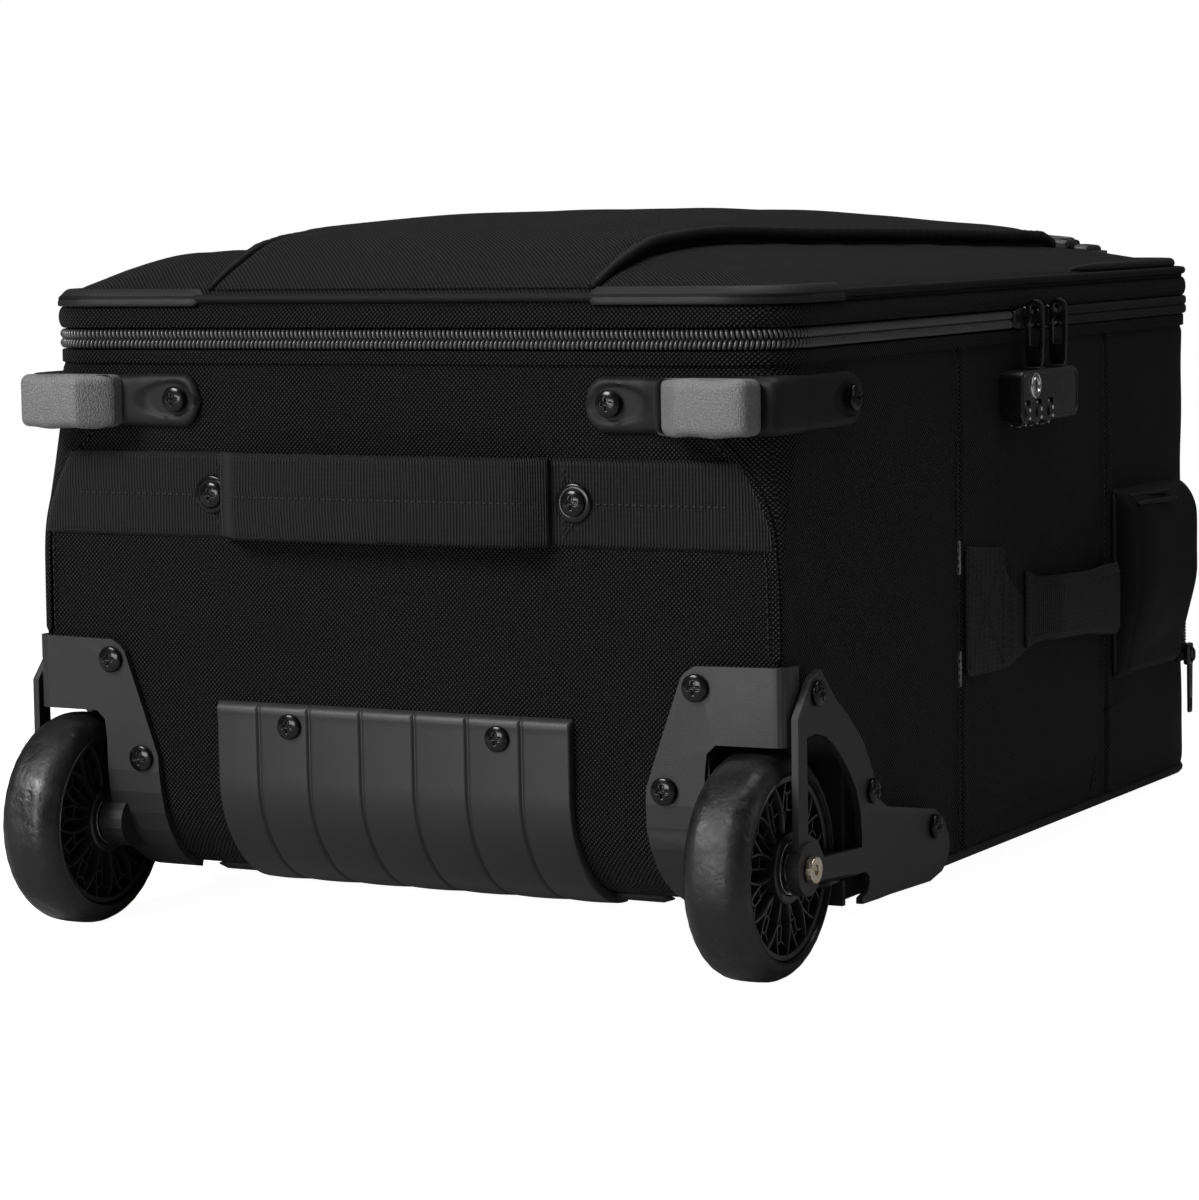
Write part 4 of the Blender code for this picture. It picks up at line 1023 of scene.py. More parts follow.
def make_back_panel():
    """Slightly crowned panel; the handle tubes show as two soft ridges."""
    half, near, far = 0.1600, 0.0620, 0.4930
    x, y = np.meshgrid(np.linspace(-half, half, 70), np.linspace(near, far, 90), indexing="ij")
    edge = np.minimum(np.minimum(x + half, half - x), np.minimum(y - near, far - y))
    height = 0.0012 * smooth(edge / 0.006)
    for tube_x in (-0.085, 0.085):
        height += 0.0010 * bell(x - tube_x, 0.013) * smooth(edge / 0.02)
    for groove_x in (-0.048, 0.048):
        height -= 0.0007 * bell(x - groove_x, 0.0014)
    height += ripple(points(x, y, 0.0), seed=5, height=0.00012) * smooth(edge / 0.02)
    build("back_panel_cover", *sheet(points(x, y, -height - 0.0001), points(x, y, 0.0008)),
          "ballistic", "case", "ballistic_nylon")


def make_lining():
    levels = [0.0219, 0.0221, 0.0240, 0.0300] + list(np.linspace(0.040, 0.2225, 20))
    outer = [body_loop(z, -0.0083) for z in levels]
    inner = [body_loop(max(z, 0.0228), -0.0092) for z in levels]
    for ring, z in zip(inner, levels):
        ring[:, 2] = max(z, 0.0225)
    rings = outer + inner[::-1]
    rows, count = len(rings), len(rings[0])
    caps = [list(range(count)), [(rows - 1) * count + i for i in range(count)]]
    obj = build("body_lining", np.concatenate(rings), quads(rows, count, wrap_cols=True) + caps,
                "lining", "case", "liner_grey")
    openings = Parts()
    for side in (-1, 1):
        openings.add(*soft_box((side * 0.1372, -0.03, 0.0150), (side * 0.21, 0.0625, 0.0815),
                               0.0015, 1, 1))
    openings.add(*soft_box((-0.1090, 0.4690, 0.0100), (0.1090, 0.5400, 0.0362), 0.0010, 1, 1))
    cut(obj, openings, "lining")
    obj.data.set_sharp_from_angle(angle=math.radians(50))


def make_lining_boxes():
    """Lining wrapped over the wheel wells and the handle box."""
    for side, tag in SIDES:
        box = soft_box((side * 0.1374, 0.0085, 0.0232), (side * 0.1742, 0.0665, 0.0830),
                       0.0050, 6, 4, crown=(0, 0.001, 0.001))
        obj = Parts().add(*box).make("well_lining_" + tag, ["lining"], "case", slot="liner_grey")
        hollow = soft_box((side * 0.1398, -0.02, 0.0100), (side * 0.2100, 0.0628, 0.0800),
                          0.0015, 1, 1)
        cut(obj, Parts().add(*hollow), "lining")
    box = soft_box((-0.1088, 0.4690, 0.0232), (0.1088, 0.5000, 0.0370), 0.0020, 6, 3)
    obj = Parts().add(*box).make("handle_box_cover", ["lining"], "case", slot="liner_grey")
    hollow = soft_box((-0.1082, 0.4700, 0.0100), (0.1082, 0.5400, 0.0360), 0.0010, 1, 1)
    cut(obj, Parts().add(*hollow), "lining")


def make_rod_sleeve():
    """Fabric sleeve that holds the stiffening rod just below the zip."""
    loop, outward = even_loop(0.2260, -0.0092, 0.006)
    build("rim_rod_sleeve", *sweep(loop, outward, round_profile(0.0033, 12), closed=True),
          "liner_dark", "case", "liner_grey", "rim_rod")


def quilting(a, b, pitch):
    return (np.sin(a * 2 * math.pi / pitch) * np.sin(b * 2 * math.pi / pitch)) ** 2


def make_divider():
    verts, faces = soft_box((-0.1690, 0.3003, 0.0232), (0.1690, 0.3057, 0.2115), 0.0026, 26, 3,
                            crown=(0, 0.0012, 0))
    quilt = quilting(verts[:, 0], verts[:, 2], 0.056)
    verts[:, 1] += np.sign(verts[:, 1] - 0.3030) * 0.0005 * quilt
    build("divider_cover", verts, faces, "foam_pad", "case", "liner_grey", "padded_divider")


# ------------------------------------------------------------------------ lid
LID_DEPTHS = np.linspace(0, 0.182, 729)
LID_SURFACE = soften(table(LID_HEIGHTS, LID_DEPTHS), 260)


def lid_height(depth):
    return np.interp(depth, LID_DEPTHS, LID_SURFACE)


def lid_depth(x, y):
    """Distance inwards from the lid's outline at a point of the plan, eased round the corners."""
    x, y = np.abs(np.asarray(x, float)), np.asarray(y, float)
    from_side, from_end = HALF_W - x, np.minimum(y, LENGTH - y)
    radius = np.where(y < LENGTH / 2, 0.030, REAR_R)
    ease = 1.17 * radius + 0.15 * np.maximum(np.minimum(from_side, from_end), 0)
    share = np.clip(0.5 + 0.5 * (from_end - from_side) / ease, 0, 1)
    flatten = 1 - 0.36 * smooth((y - 0.19) / 0.25)   # the crown eases off to the handle end
    depth = lerp(from_end, from_side, share) - ease * share * (1 - share)
    return np.maximum(depth, 0.0) * flatten


def on_lid(x, y, lift):
    return points(x, y, lid_height(lid_depth(x, y)) + lift)


def lid_outline(inset):
    """Plan outline of the lid drawn in, with the same count of points at every inset."""
    half, near, far = HALF_W - inset, inset, LENGTH - inset
    front_r = min(0.030 + inset * 0.25, half - 0.002)
    rear_r = min(REAR_R + inset * 0.10, half - 0.002)
    front_x, rear_x = half - front_r, half - rear_r
    start, end = near + front_r, far - rear_r
    along = np.linspace(start, end, 82)[1:-1]
    return np.concatenate([
        quarter(front_x, start, front_r, 270), points(half, along),
        quarter(rear_x, end, rear_r, 0), points(np.linspace(rear_x, -rear_x, 58)[1:-1], far),
        quarter(-rear_x, end, rear_r, 90), points(-half, along[::-1]),
        quarter(-front_x, start, front_r, 180),
        points(np.linspace(-front_x, front_x, 58)[1:-1], near)])


def lid_loop(inset, z, step):
    """Evenly spaced lid outline at a height, with outward normals."""
    loop = resample(points(*lid_outline(inset).T, z), step, True)
    return loop, loop_normal(loop)


def lid_ring(inset, edge_z, drop=0.0):
    """Outline on the lid's surface, passing from edge_z near the rim to the crown."""
    x, y = lid_outline(inset).T
    share = float(smooth((inset - 0.003) / 0.012))
    return points(x, y, lerp(edge_z, lid_height(lid_depth(x, y)), share) - drop)


def make_lid():
    insets = [0.0, 0.0, 0.0, 0.0006, 0.0012, 0.002, 0.003, 0.0042, 0.0055, 0.0075]
    insets += list(np.linspace(0.010, 0.150, 46))
    heights = [0.2418, 0.2470, 0.2532] + [float(lid_height(d)) for d in insets[3:]]
    rings = [lid_ring(inset, z) for inset, z in zip(insets, heights)]
    innermost = rings[-1]
    centre = innermost.mean(0)
    for size in (0.5, 0.12):
        ring = centre + (innermost - centre) * size
        ring[:, 2] = innermost[0, 2] + (1 - size) * 0.0012
        rings.append(ring)
    count, last = len(innermost), (len(rings) - 1) * len(innermost)
    fan = [(last + i, last + (i + 1) % count, last + count) for i in range(count)]
    verts = np.vstack(rings + [centre + (0, 0, 0.0014)])
    obj = build("lid_cover", verts, ring_faces(len(rings), count) + fan,
                ["ballistic", "lining"], "lid", "ballistic_nylon", "lid_shell")
    x, y, z = layout(obj).T
    pinned = (lid_depth(x, y) < 0.004) | ((np.abs(x) < 0.105) & (y < 0.40) & (y > 0.03))
    cloth(obj, pinned, pressure=2.0, cap=0.0015, frames=14, stiff=40, bend=6)
    place = layout(obj)
    x, y, z = place.T
    depth = lid_depth(x, y)
    swell = ripple(place, seed=11, height=0.00022) * smooth(depth / 0.02)
    # the -x shoulder stands a little fuller
    swell += (0.0044 * bell(depth - 0.037, 0.022) * smooth((-x - 0.080) / 0.060)
              * smooth((0.42 - y) / 0.08))
    swell -= 0.0006 * bell(z - 0.2482, 0.0010) * (depth < 0.003)
    displace(obj, swell)
    solid = obj.modifiers.new("thick", "SOLIDIFY")
    solid.thickness, solid.offset = 0.0032, -1.0
    solid.material_offset, solid.material_offset_rim = 1, 1
    bake_modifiers(obj)
    smooth_to(obj, 60)


# The raised pocket on the lid: y, x of each of its sides.
POCKET_RIGHT = ((0.004, 0.0960), (0.030, 0.0975), (0.060, 0.1010), (0.110, 0.1120),
                (0.160, 0.1220), (0.230, 0.1270), (0.330, 0.1280), (0.420, 0.1260),
                (0.455, 0.1180))
POCKET_LEFT = ((0.004, -0.0915), (0.030, -0.0930), (0.060, -0.0960), (0.110, -0.1070),
               (0.160, -0.1170), (0.230, -0.1220), (0.330, -0.1230), (0.420, -0.1210),
               (0.455, -0.1130))
POCKET_RISE, POCKET_GAP = 0.0075, 0.0004
POCKET_NEAR, POCKET_FAR, POCKET_SEAM_Y = 0.0045, 0.4550, 0.4552
POCKET_Y = np.linspace(POCKET_NEAR, POCKET_FAR, 96)
POCKET_RIGHT_X = soften(table(POCKET_RIGHT, POCKET_Y), 6)
POCKET_LEFT_X = soften(table(POCKET_LEFT, POCKET_Y), 6)


def pocket_rise(y):
    near = smooth((y - 0.002) / 0.050)
    far = 0.35 + 0.65 * smooth((0.4580 - y) / 0.040)
    return 0.0004 + (POCKET_RISE - 0.0004) * near * far


def make_lid_pocket():
    share = np.linspace(-1, 1, 64)
    share = np.sign(share) * (1 - (1 - np.abs(share)) ** 1.5)       # closer rows near the sides
    left, right = POCKET_LEFT_X[:, None], POCKET_RIGHT_X[:, None]
    x = lerp(left, right, (share + 1) / 2)
    y = np.repeat(POCKET_Y[:, None], len(share), 1)
    edge = np.minimum(x - left, right - x)
    rounded = np.minimum(round_off(edge, 0.010), round_off(POCKET_SEAM_Y - y, 0.012))
    top = on_lid(x, y, POCKET_GAP + pocket_rise(y) * rounded)
    obj = build("lid_pocket_cover", *sheet(top, on_lid(x, y, 0.0002)), "ballistic", "lid",
                "ballistic_nylon", "lid_pocket_panel")
    edge = np.minimum(np.minimum(edge, POCKET_FAR - y), y - POCKET_NEAR).ravel()
    edge = np.concatenate([edge, np.zeros(len(edge))])
    cloth(obj, edge < 0.006, pressure=2.5, cap=0.0018, frames=16, stiff=30, bend=4)
    place = coords(obj)
    pucker = np.sin(place[:, 1] * 2 * math.pi / 0.013) * np.exp(-edge / 0.016)
    displace(obj, ripple(place, seed=21, height=0.00030) * smooth(edge / 0.02)
             + 0.00035 * pucker * (edge > 0.003))
    subdivide(obj)


def make_lid_pocket_seams():
    """Thick rolled seams down both sides, gathered a little, and across the far end."""
    parts = Parts()
    turn = np.linspace(0, 2 * math.pi, 16, endpoint=False)[None, :, None]
    for side, seam_x, thick in ((1, POCKET_RIGHT_X, 0.0030), (-1, POCKET_LEFT_X, 0.0021)):
        x, y, _ = resample(points(seam_x, POCKET_Y, 0.0), 0.0030).T
        path = on_lid(x, y, 0.0008 + pocket_rise(y) * 0.55)
        _, out, across = path_frames(path, (0, 0, 1))
        gather = (1 + 0.05 * np.sin(y * 2 * math.pi / 0.0090)
                  + 0.03 * np.sin(y * 2 * math.pi / 0.0231))
        radius = thick * (0.75 + 0.25 * smooth((y - 0.01) / 0.03)) * gather
        ring = across[:, None] * np.cos(turn) * 0.95 + out[:, None] * np.sin(turn)
        verts = path[:, None] + ring * radius[:, None, None] + across[:, None] * side * -0.0004
        parts.add(verts, tube_faces(len(path), 16))
    x = np.linspace(POCKET_LEFT_X[-1], POCKET_RIGHT_X[-1], 70)
    path = on_lid(x, POCKET_SEAM_Y, 0.0016)
    parts.add(*sweep(path, (0, 0, 1), round_profile(0.0020), taper=0.008))
    parts.make("lid_pocket_seams", ["plain_nylon"], "lid", slot="ballistic_nylon")


def make_lid_pocket_flap():
    """Flap over the pocket's hidden zip, on the side away from the lock."""
    y = np.linspace(0.150, 0.400, 60)
    path = on_lid(table(POCKET_LEFT, y) + 0.0175, y, POCKET_GAP + POCKET_RISE + 0.0003)
    Parts().add(*sweep(path, (0, 0, 1), band_profile(0.0150, 0.0010), taper=0.004)).make(
        "lid_pocket_zip_flap", ["plain_nylon"], "lid", slot="ballistic_nylon")


def make_lid_edges():
    loop, outward = lid_loop(0.0, 0.2542, 0.0045)
    piping = sweep(loop, unit(outward + (0, 0, 0.7)), round_profile(0.0019, 12), closed=True)
    Parts().add(*piping).make("lid_piping", ["plain_nylon"], "lid", slot="webbing")
    # upper tape of the main zip, under the lid edge
    loop[:, 2] = 0.2462
    band = sweep(loop, outward, half_oval(0.0046, 0.0021, 11, sink=0.0001), closed=True)
    Parts().add(*band).make("zip_band_upper", ["ballistic"], "lid", slot="ballistic_nylon")
    # wear strips over the wheel-end corners
    parts = Parts()
    loop, outward = lid_loop(0.0006, 0.2548, 0.004)
    slant = unit(outward * 0.80 + (0, 0, 0.60))
    for start, end in (((0.0970, 0.0), (0.1820, 0.0630)), ((-0.1820, 0.0630), (-0.0920, 0.0))):
        path, out = sub_loop(loop, slant, start, end)
        parts.add(*sweep(path, out, half_oval(0.0046, 0.0019, 13), taper=0.003))
    parts.make("lid_wear_strips", ["binding"], "lid", slot="webbing")
    # upper binding round the handle end
    loop, outward = lid_loop(0.0046, 0.2578, 0.004)
    slant = unit(outward * 0.60 + (0, 0, 0.8))
    path, out = sub_loop(loop, slant, (0.1780, 0.3300), (-0.1780, 0.3300))
    Parts().add(*sweep(path, out, round_profile(0.0027), taper=0.050)).make(
        "lid_rear_piping", ["binding"], "lid", slot="webbing")


def make_lid_lining():
    """Lining tray under the lid."""
    rings = [lid_ring(inset, float(lid_height(inset)), drop=0.0056)
             for inset in [0.0062] + list(np.linspace(0.0085, 0.140, 40))]
    rings[0][:, 2] = 0.2440
    count, total = len(rings[0]), len(rings) * len(rings[0])
    upper = np.concatenate(rings)
    faces = ring_faces(len(rings), count) + [list(range(total - count, total))]
    under = [tuple(i + total for i in f)[::-1] for f in faces]
    build("lid_lining", np.vstack([upper, upper - (0, 0, 0.0008)]),
          faces + under + rim_walls(np.arange(count), total), "lining", "lid", "liner_grey")


def make_laptop_sleeve():
    """Padded laptop sleeve inside the lid."""
    half, inner, near, far = 0.1445, 0.1395, 0.0505, 0.4395
    parts = Parts()
    verts, faces = soft_box((-half, near, 0.2322), (half, far, 0.2346), 0.0011, 30, 3)
    verts[:, 2] -= (verts[:, 2] < 0.2334) * 0.0006 * quilting(verts[:, 0], verts[:, 1], 0.060)
    parts.add(verts, faces)
    parts.add(*soft_box((-half, near, 0.2590), (half, far, 0.2610), 0.0009, 8, 3))
    for low, high in (((-half, near, 0.2345), (-inner, far, 0.2592)),
                      ((inner, near, 0.2345), (half, far, 0.2592)),
                      ((-0.1400, 0.4345, 0.2345), (0.1400, far, 0.2592))):
        parts.add(*soft_box(low, high, 0.0012, 6, 3))
    # grosgrain along both sides and the wheel end
    for x in (-0.1390, 0.1390):
        path = points(x, np.linspace(0.056, 0.434, 40), 0.2318)
        parts.add(*sweep(path, (0, 0, -1), band_profile(0.0080, 0.0008), taper=0.003), 1)
    path = points(np.linspace(-0.142, 0.142, 50), 0.0560, 0.2318)
    parts.add(*sweep(path, (0, 0, -1), band_profile(0.0100, 0.0009), taper=0.003), 1)
    parts.make("laptop_sleeve_cover", ["foam_pad", "grosgrain"], "lid", slot="liner_grey",
               replaces="laptop_sleeve")


# ------------------------------------------------------------------------ zip
def zip_tooth(centre, out, along, lean):
    """One turn of the coil: a short bent bar standing across the chain."""
    share = np.linspace(-1, 1, 6)[:, None]
    path = (centre + share * (0, 0, 0.00205) + out * (0.0009 * (1 - share ** 2) + 0.0002)
            + along * share * 0.00042 * lean)
    turn = np.linspace(0, 2 * math.pi, 6, endpoint=False)[None, :, None]
    radius = 0.00088 * np.array([0.80, 1, 1.05, 1.05, 1, 0.80])[:, None, None]
    return path[:, None] + (along * np.cos(turn) + out * np.sin(turn)) * radius, tube_faces(6, 6)


def make_zip_chain(name, body, chain_z, node, lean):
    """Coil and the tape behind it; the upper chain sits half a tooth along."""
    parts = Parts()
    loop, outward = lid_loop(0.0003, chain_z, 0.00215)
    along = np.cross((0, 0, 1), outward)
    if lean < 0:
        loop = (loop + np.roll(loop, -1, 0)) / 2
    x, y, _ = loop.T
    keep = ~((np.abs(x + HALF_W) < 0.003) & (y > 0.036) & (y < 0.450))        # fabric hinge
    keep &= ~((x > HALF_W - 0.004) & (y > 0.2440) & (y < 0.452))              # sliders and guard
    for centre, out, tangent in zip(loop[keep], outward[keep], along[keep]):
        parts.add(*zip_tooth(centre, out, tangent, lean))
    loop, outward = lid_loop(0.0016, chain_z, 0.006)
    keep = ~((np.abs(loop[:, 0] + HALF_W) < 0.006) & (loop[:, 1] > 0.040) & (loop[:, 1] < 0.446))
    order = (np.where(~keep)[0][-1] + 1 + np.arange(len(loop))) % len(loop)
    order = order[keep[order]]
    tape = [(-0.0019, -0.0012), (0.0019, -0.0012), (0.0019, 0.0006), (-0.0019, 0.0006)]
    parts.add(*sweep(loop[order], outward[order], tape), 1)
    parts.make(name, ["coil", "zip_tape"], body, slot="coil", replaces=node)


def make_zip():
    make_zip_chain("zip_coil_lower", "case", 0.23492, "zipper_chain_lower", 1)
    make_zip_chain("zip_coil_upper", "lid", 0.23898, "zipper_chain_upper", -1)
    # smooth guard beyond the sliders, in two lips that part with the zip
    for name, body, z in (("zip_guard_lower", "case", 0.23480), ("zip_guard_upper", "lid", 0.23920)):
        path, out = sub_loop(*lid_loop(0.0, z, 0.004), (0.182, 0.2995), (0.150, 0.5050))
        guard = sweep(path, out, band_profile(0.0047, 0.0022, radius=0.0016), taper=0.003)
        Parts().add(*guard).make(name, ["binding"], body, slot="coil")
    band = sweep(*lid_loop(0.0, 0.2293, 0.0045), band_profile(0.0056, 0.0008), closed=True)
    Parts().add(*band).make("zip_band_lower", ["ballistic"], "case", slot="coil")


def make_hinge():
    """Fabric hinge along the -x side, reaching from the case to the lid."""
    y, z = np.meshgrid(np.linspace(0.034, 0.452, 84), np.linspace(0.2270, 0.2530, 15),
                       indexing="ij")
    bulge = (0.0006 + 0.00015 * np.sin(y * 2 * math.pi / 0.017)) * np.cos(
        (z - 0.2405) / 0.013 * math.pi / 2)
    x = -HALF_W - 0.0009 - np.maximum(bulge, 0)
    obj = build("lid_hinge_fabric", *sheet(points(x, y, z), points(x + 0.0011, y, z)),
                "plain_nylon", "case", "ballistic_nylon")
    # freed from the case, so it rides on no body
    obj.parent = None
    obj.matrix_world = Matrix.Identity(4)
    if "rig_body" in obj:
        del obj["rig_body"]
    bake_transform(obj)


# --------------------------------------------------------------------- screws
def pan_head(parts, centre, axis, radius=0.0056, washer=0.0):
    """Pan head with a cross recess, seated on its face, over a short shank."""
    height, around, recess = 0.0026, 48, 0.0013
    axis, centre = unit(axis), np.asarray(centre, float)
    across = unit(np.cross(axis, (0, 0, 1.0)))
    up = np.cross(axis, across)
    rings = np.concatenate([np.linspace(0, 0.50, 11)[1:], np.linspace(0.58, 1.0, 8)])
    turn = np.linspace(0, 2 * math.pi, around, endpoint=False) + 0.6
    verts = [centre + axis * (height - 0.0012)]
    for share in rings:
        x, y = radius * share * np.cos(turn), radius * share * np.sin(turn)
        dome = height * (1 - 0.42 * share ** 2.6) if share < 0.985 else height * 0.50
        cross = (((np.abs(x) < 0.00078) & (np.abs(y) < 0.0027))
                 | ((np.abs(y) < 0.00078) & (np.abs(x) < 0.0027)))
        verts += list(centre + points(x, y, dome - recess * cross) @ (across, up, axis))
    seat = centre + axis * 0.00005
    verts += list(seat + radius * points(np.cos(turn), np.sin(turn)) @ (across, up))
    verts.append(seat)
    faces = [(0, 1 + i, 1 + (i + 1) % around) for i in range(around)]
    faces += quads(len(rings) + 1, around, wrap_cols=True, base=1)
    last = 1 + len(rings) * around
    faces += [(len(verts) - 1, last + (i + 1) % around, last + i) for i in range(around)]
    parts.add(verts, faces)
    if washer:
        ring = [(radius * 0.6, -0.0002), (washer, -0.0002), (washer + 0.0001, 0.0003),
                (washer - 0.0004, 0.0007), (radius * 0.6, 0.0007)]
        parts.add(*lathe(ring, centre, axis, 40))
    shank = [(0.0001, -0.0095), (0.0017, -0.0095), (0.0018, 0.0001), (0.0001, 0.0001)]
    parts.add(*lathe(shank, centre, axis, 12))


def make_screw_group(name, replaces, heads, strips):
    """Heads are pan_head arguments; strips are the corners of the backing strips inside."""
    parts = Parts()
    for head in heads:
        pan_head(parts, **head)
    for low, high in strips:
        parts.add(*soft_box(low, high, 0.0005, 4, 2))
    parts.make(name, ["screw_black"], "case", slot="black_screw", replaces=replaces)


def make_screws():
    end = (0, -1, 0)
    make_screw_group(
        "strap_screw_heads", "strap_screws",
        [dict(centre=(side * 0.0892, -0.0026, 0.1700), axis=end, washer=0.0082)
         for side in (-1, 1)],
        [((-0.100, 0.0064, 0.1630), (0.100, 0.0078, 0.1770))])
    make_screw_group(
        "bumper_screw_heads", "bumper_screws",
        [dict(centre=(side * 0.0515, -0.0036, 0.0705), axis=end) for side in (-1, 1)],
        [((-0.064, 0.0064, 0.0640), (0.064, 0.0078, 0.0770))])
    for side, tag in SIDES:
        make_screw_group(
            "foot_screw_heads_" + tag, "foot_screws_" + tag,
            [dict(centre=(side * 0.1068, -0.0034, 0.2110), axis=end),
             dict(centre=(side * 0.1862, 0.0630, 0.2110), axis=(side, 0, 0))],
            [((side * 0.098, 0.0064, 0.2045), (side * 0.1500, 0.0078, 0.2175)),
             ((side * 0.1738, 0.0300, 0.2045), (side * 0.1752, 0.0710, 0.2175))])
        make_screw_group(
            "housing_screw_heads_" + tag, "housing_screws_" + tag,
            [dict(centre=(side * x, -0.0033, z), axis=end, radius=0.0058)
             for x, z in ((0.1445, 0.0960), (0.1296, 0.0527))]
            + [dict(centre=(side * 0.1895, y, z), axis=(side, 0, 0), radius=0.0054)
               for y, z in ((0.0172, 0.0934), (0.0706, 0.0458), (0.1360, 0.0210))],
            [((side * 0.1230, 0.0064, 0.0450), (side * 0.1385, 0.0078, 0.1030)),
             ((side * 0.1738, 0.0660, 0.0120), (side * 0.1752, 0.1440, 0.0300))])


# -------------------------------------------------------------------- wheels
def make_tyre(centre, tag, body):
    """Rounded tread with fine mould lines and small lugs on the shoulders."""
    shoulder_r, half = 0.0098, 0.0150
    profile = [(0.0381, half - 0.0022), (0.0383, half - 0.0006), (0.0389, half - 0.0001)]
    profile += [(WHEEL_R - shoulder_r + shoulder_r * math.sin(t),
                 half - shoulder_r + shoulder_r * math.cos(t))
                for t in np.linspace(0, math.pi / 2, 12)[1:]]
    profile = mirrored(profile + [(WHEEL_R + 0.00012, 0.0035)], [(WHEEL_R + 0.00018, 0.0)])
    verts, faces = lathe(profile, centre, (1, 0, 0), 144)
    x, y, z = (verts - centre).T
    radius, angle = np.hypot(y, z), np.arctan2(z, y)
    groove = -0.00035 * bell(np.abs(x) - 0.0098, 0.0005)
    lug = (-0.00022 * (0.5 + 0.5 * np.sin(angle * 36 + np.sign(x) * 0.6))
           * smooth((np.abs(x) - 0.0102) / 0.002) * smooth((radius - 0.0405) / 0.002))
    verts = verts + points(0.0, y / radius, z / radius) * (groove + lug)[:, None]
    Parts().add(verts, faces).make("tyre_tread_" + tag, ["rubber"], body, slot="tyre_rubber",
                                   replaces="tyre_" + tag)


# Half profiles of the rim, boss and web as (radius, along axle), with their lathe counts.
HUB_RINGS = (
    (((0.0352, -0.0126), (0.0356, -0.0130), (0.0374, -0.0130), (0.0379, -0.0124)), 96),
    (((0.0112, -0.0135), (0.0116, -0.0143), (0.0140, -0.0143), (0.0147, -0.0136),
      (0.0150, -0.0100)), 64),
    (((0.0062, -0.0066), (0.0118, -0.0068)), 48))
# Bars of one lattice cell: start radius and turn, end radius and turn (in cells),
# start and end width, depth factor, bow.
LATTICE_BARS = (
    (0.0145, 0.00, 0.0232, 0.00, 0.0020, 0.0015, 1.00, 0.0),
    (0.0228, 0.00, 0.0356, -0.27, 0.0015, 0.0014, 1.00, 0.010),
    (0.0228, 0.00, 0.0356, 0.27, 0.0015, 0.0014, 1.00, -0.010),
    (0.0236, -0.04, 0.0236, 0.54, 0.0012, 0.0012, 0.90, 0.0),
    (0.0236, 0.50, 0.0150, 0.50, 0.0012, 0.0012, 0.85, 0.0),
    (0.0236, 0.50, 0.0300, 0.50, 0.0013, 0.0012, 0.90, 0.0),
    (0.0298, 0.50, 0.0318, 0.25, 0.0012, 0.0012, 0.90, 0.0),
    (0.0298, 0.50, 0.0318, 0.75, 0.0012, 0.0012, 0.90, 0.0))
BAR_SECTION = np.array([(-1, -1), (-1, 0.8), (-0.6, 1), (0.6, 1),
                        (1, 0.8), (1, -0.8), (0.6, -1), (-0.6, -1)])
LATTICE_CELLS = 12


def lattice_bar(centre, radii, angles, widths, span, bow):
    t = np.linspace(0, 1, 6)
    radius = lerp(*radii, t)
    angle = lerp(*angles, t) + bow * np.sin(t * math.pi)
    path = points(sum(span) / 2, radius * np.cos(angle), radius * np.sin(angle)) + centre
    across = np.cross((1.0, 0, 0), unit(np.gradient(path, axis=0)))
    half_width = (lerp(*widths, t) / 2)[:, None, None]
    depth = np.array(((span[1] - span[0]) / 2, 0, 0))
    verts = (path[:, None] + across[:, None] * BAR_SECTION[:, :1] * half_width
             + depth * BAR_SECTION[:, 1:])
    return verts, tube_faces(6, len(BAR_SECTION))


def make_wheel_hub(centre, tag, body):
    parts = Parts()
    for half, count in HUB_RINGS:
        parts.add(*lathe(mirrored(half), centre, (1, 0, 0), count))
    cell = 2 * math.pi / LATTICE_CELLS
    for i in range(LATTICE_CELLS):
        start = 2 * math.pi * i / LATTICE_CELLS + 0.13
        for span in ((-0.0122, -0.0012), (0.0012, 0.0122)):
            for r_in, turn_in, r_out, turn_out, w_in, w_out, depth, bow in LATTICE_BARS:
                angles = (start + cell * turn_in, start + cell * turn_out)
                parts.add(*lattice_bar(centre, (r_in, r_out), angles, (w_in, w_out),
                                       (span[0] * depth, span[1] * depth), bow))
    parts.make("wheel_lattice_" + tag, ["hub_black"], body, slot="black_plastic",
               replaces="wheel_hub_" + tag, sharp=40)


def make_wheels():
    for side, tag in SIDES:
        centre = np.array((side * WHEEL_X, AXLE_Y, AXLE_Z))
        make_tyre(centre, tag, "wheel_" + tag)
        make_wheel_hub(centre, tag, "wheel_" + tag)


# -------------------------------------------------------- kick plate and feet
KICK_GROOVES_X = (-0.0679, -0.0423, -0.0160, 0.0104, 0.0363, 0.0624)


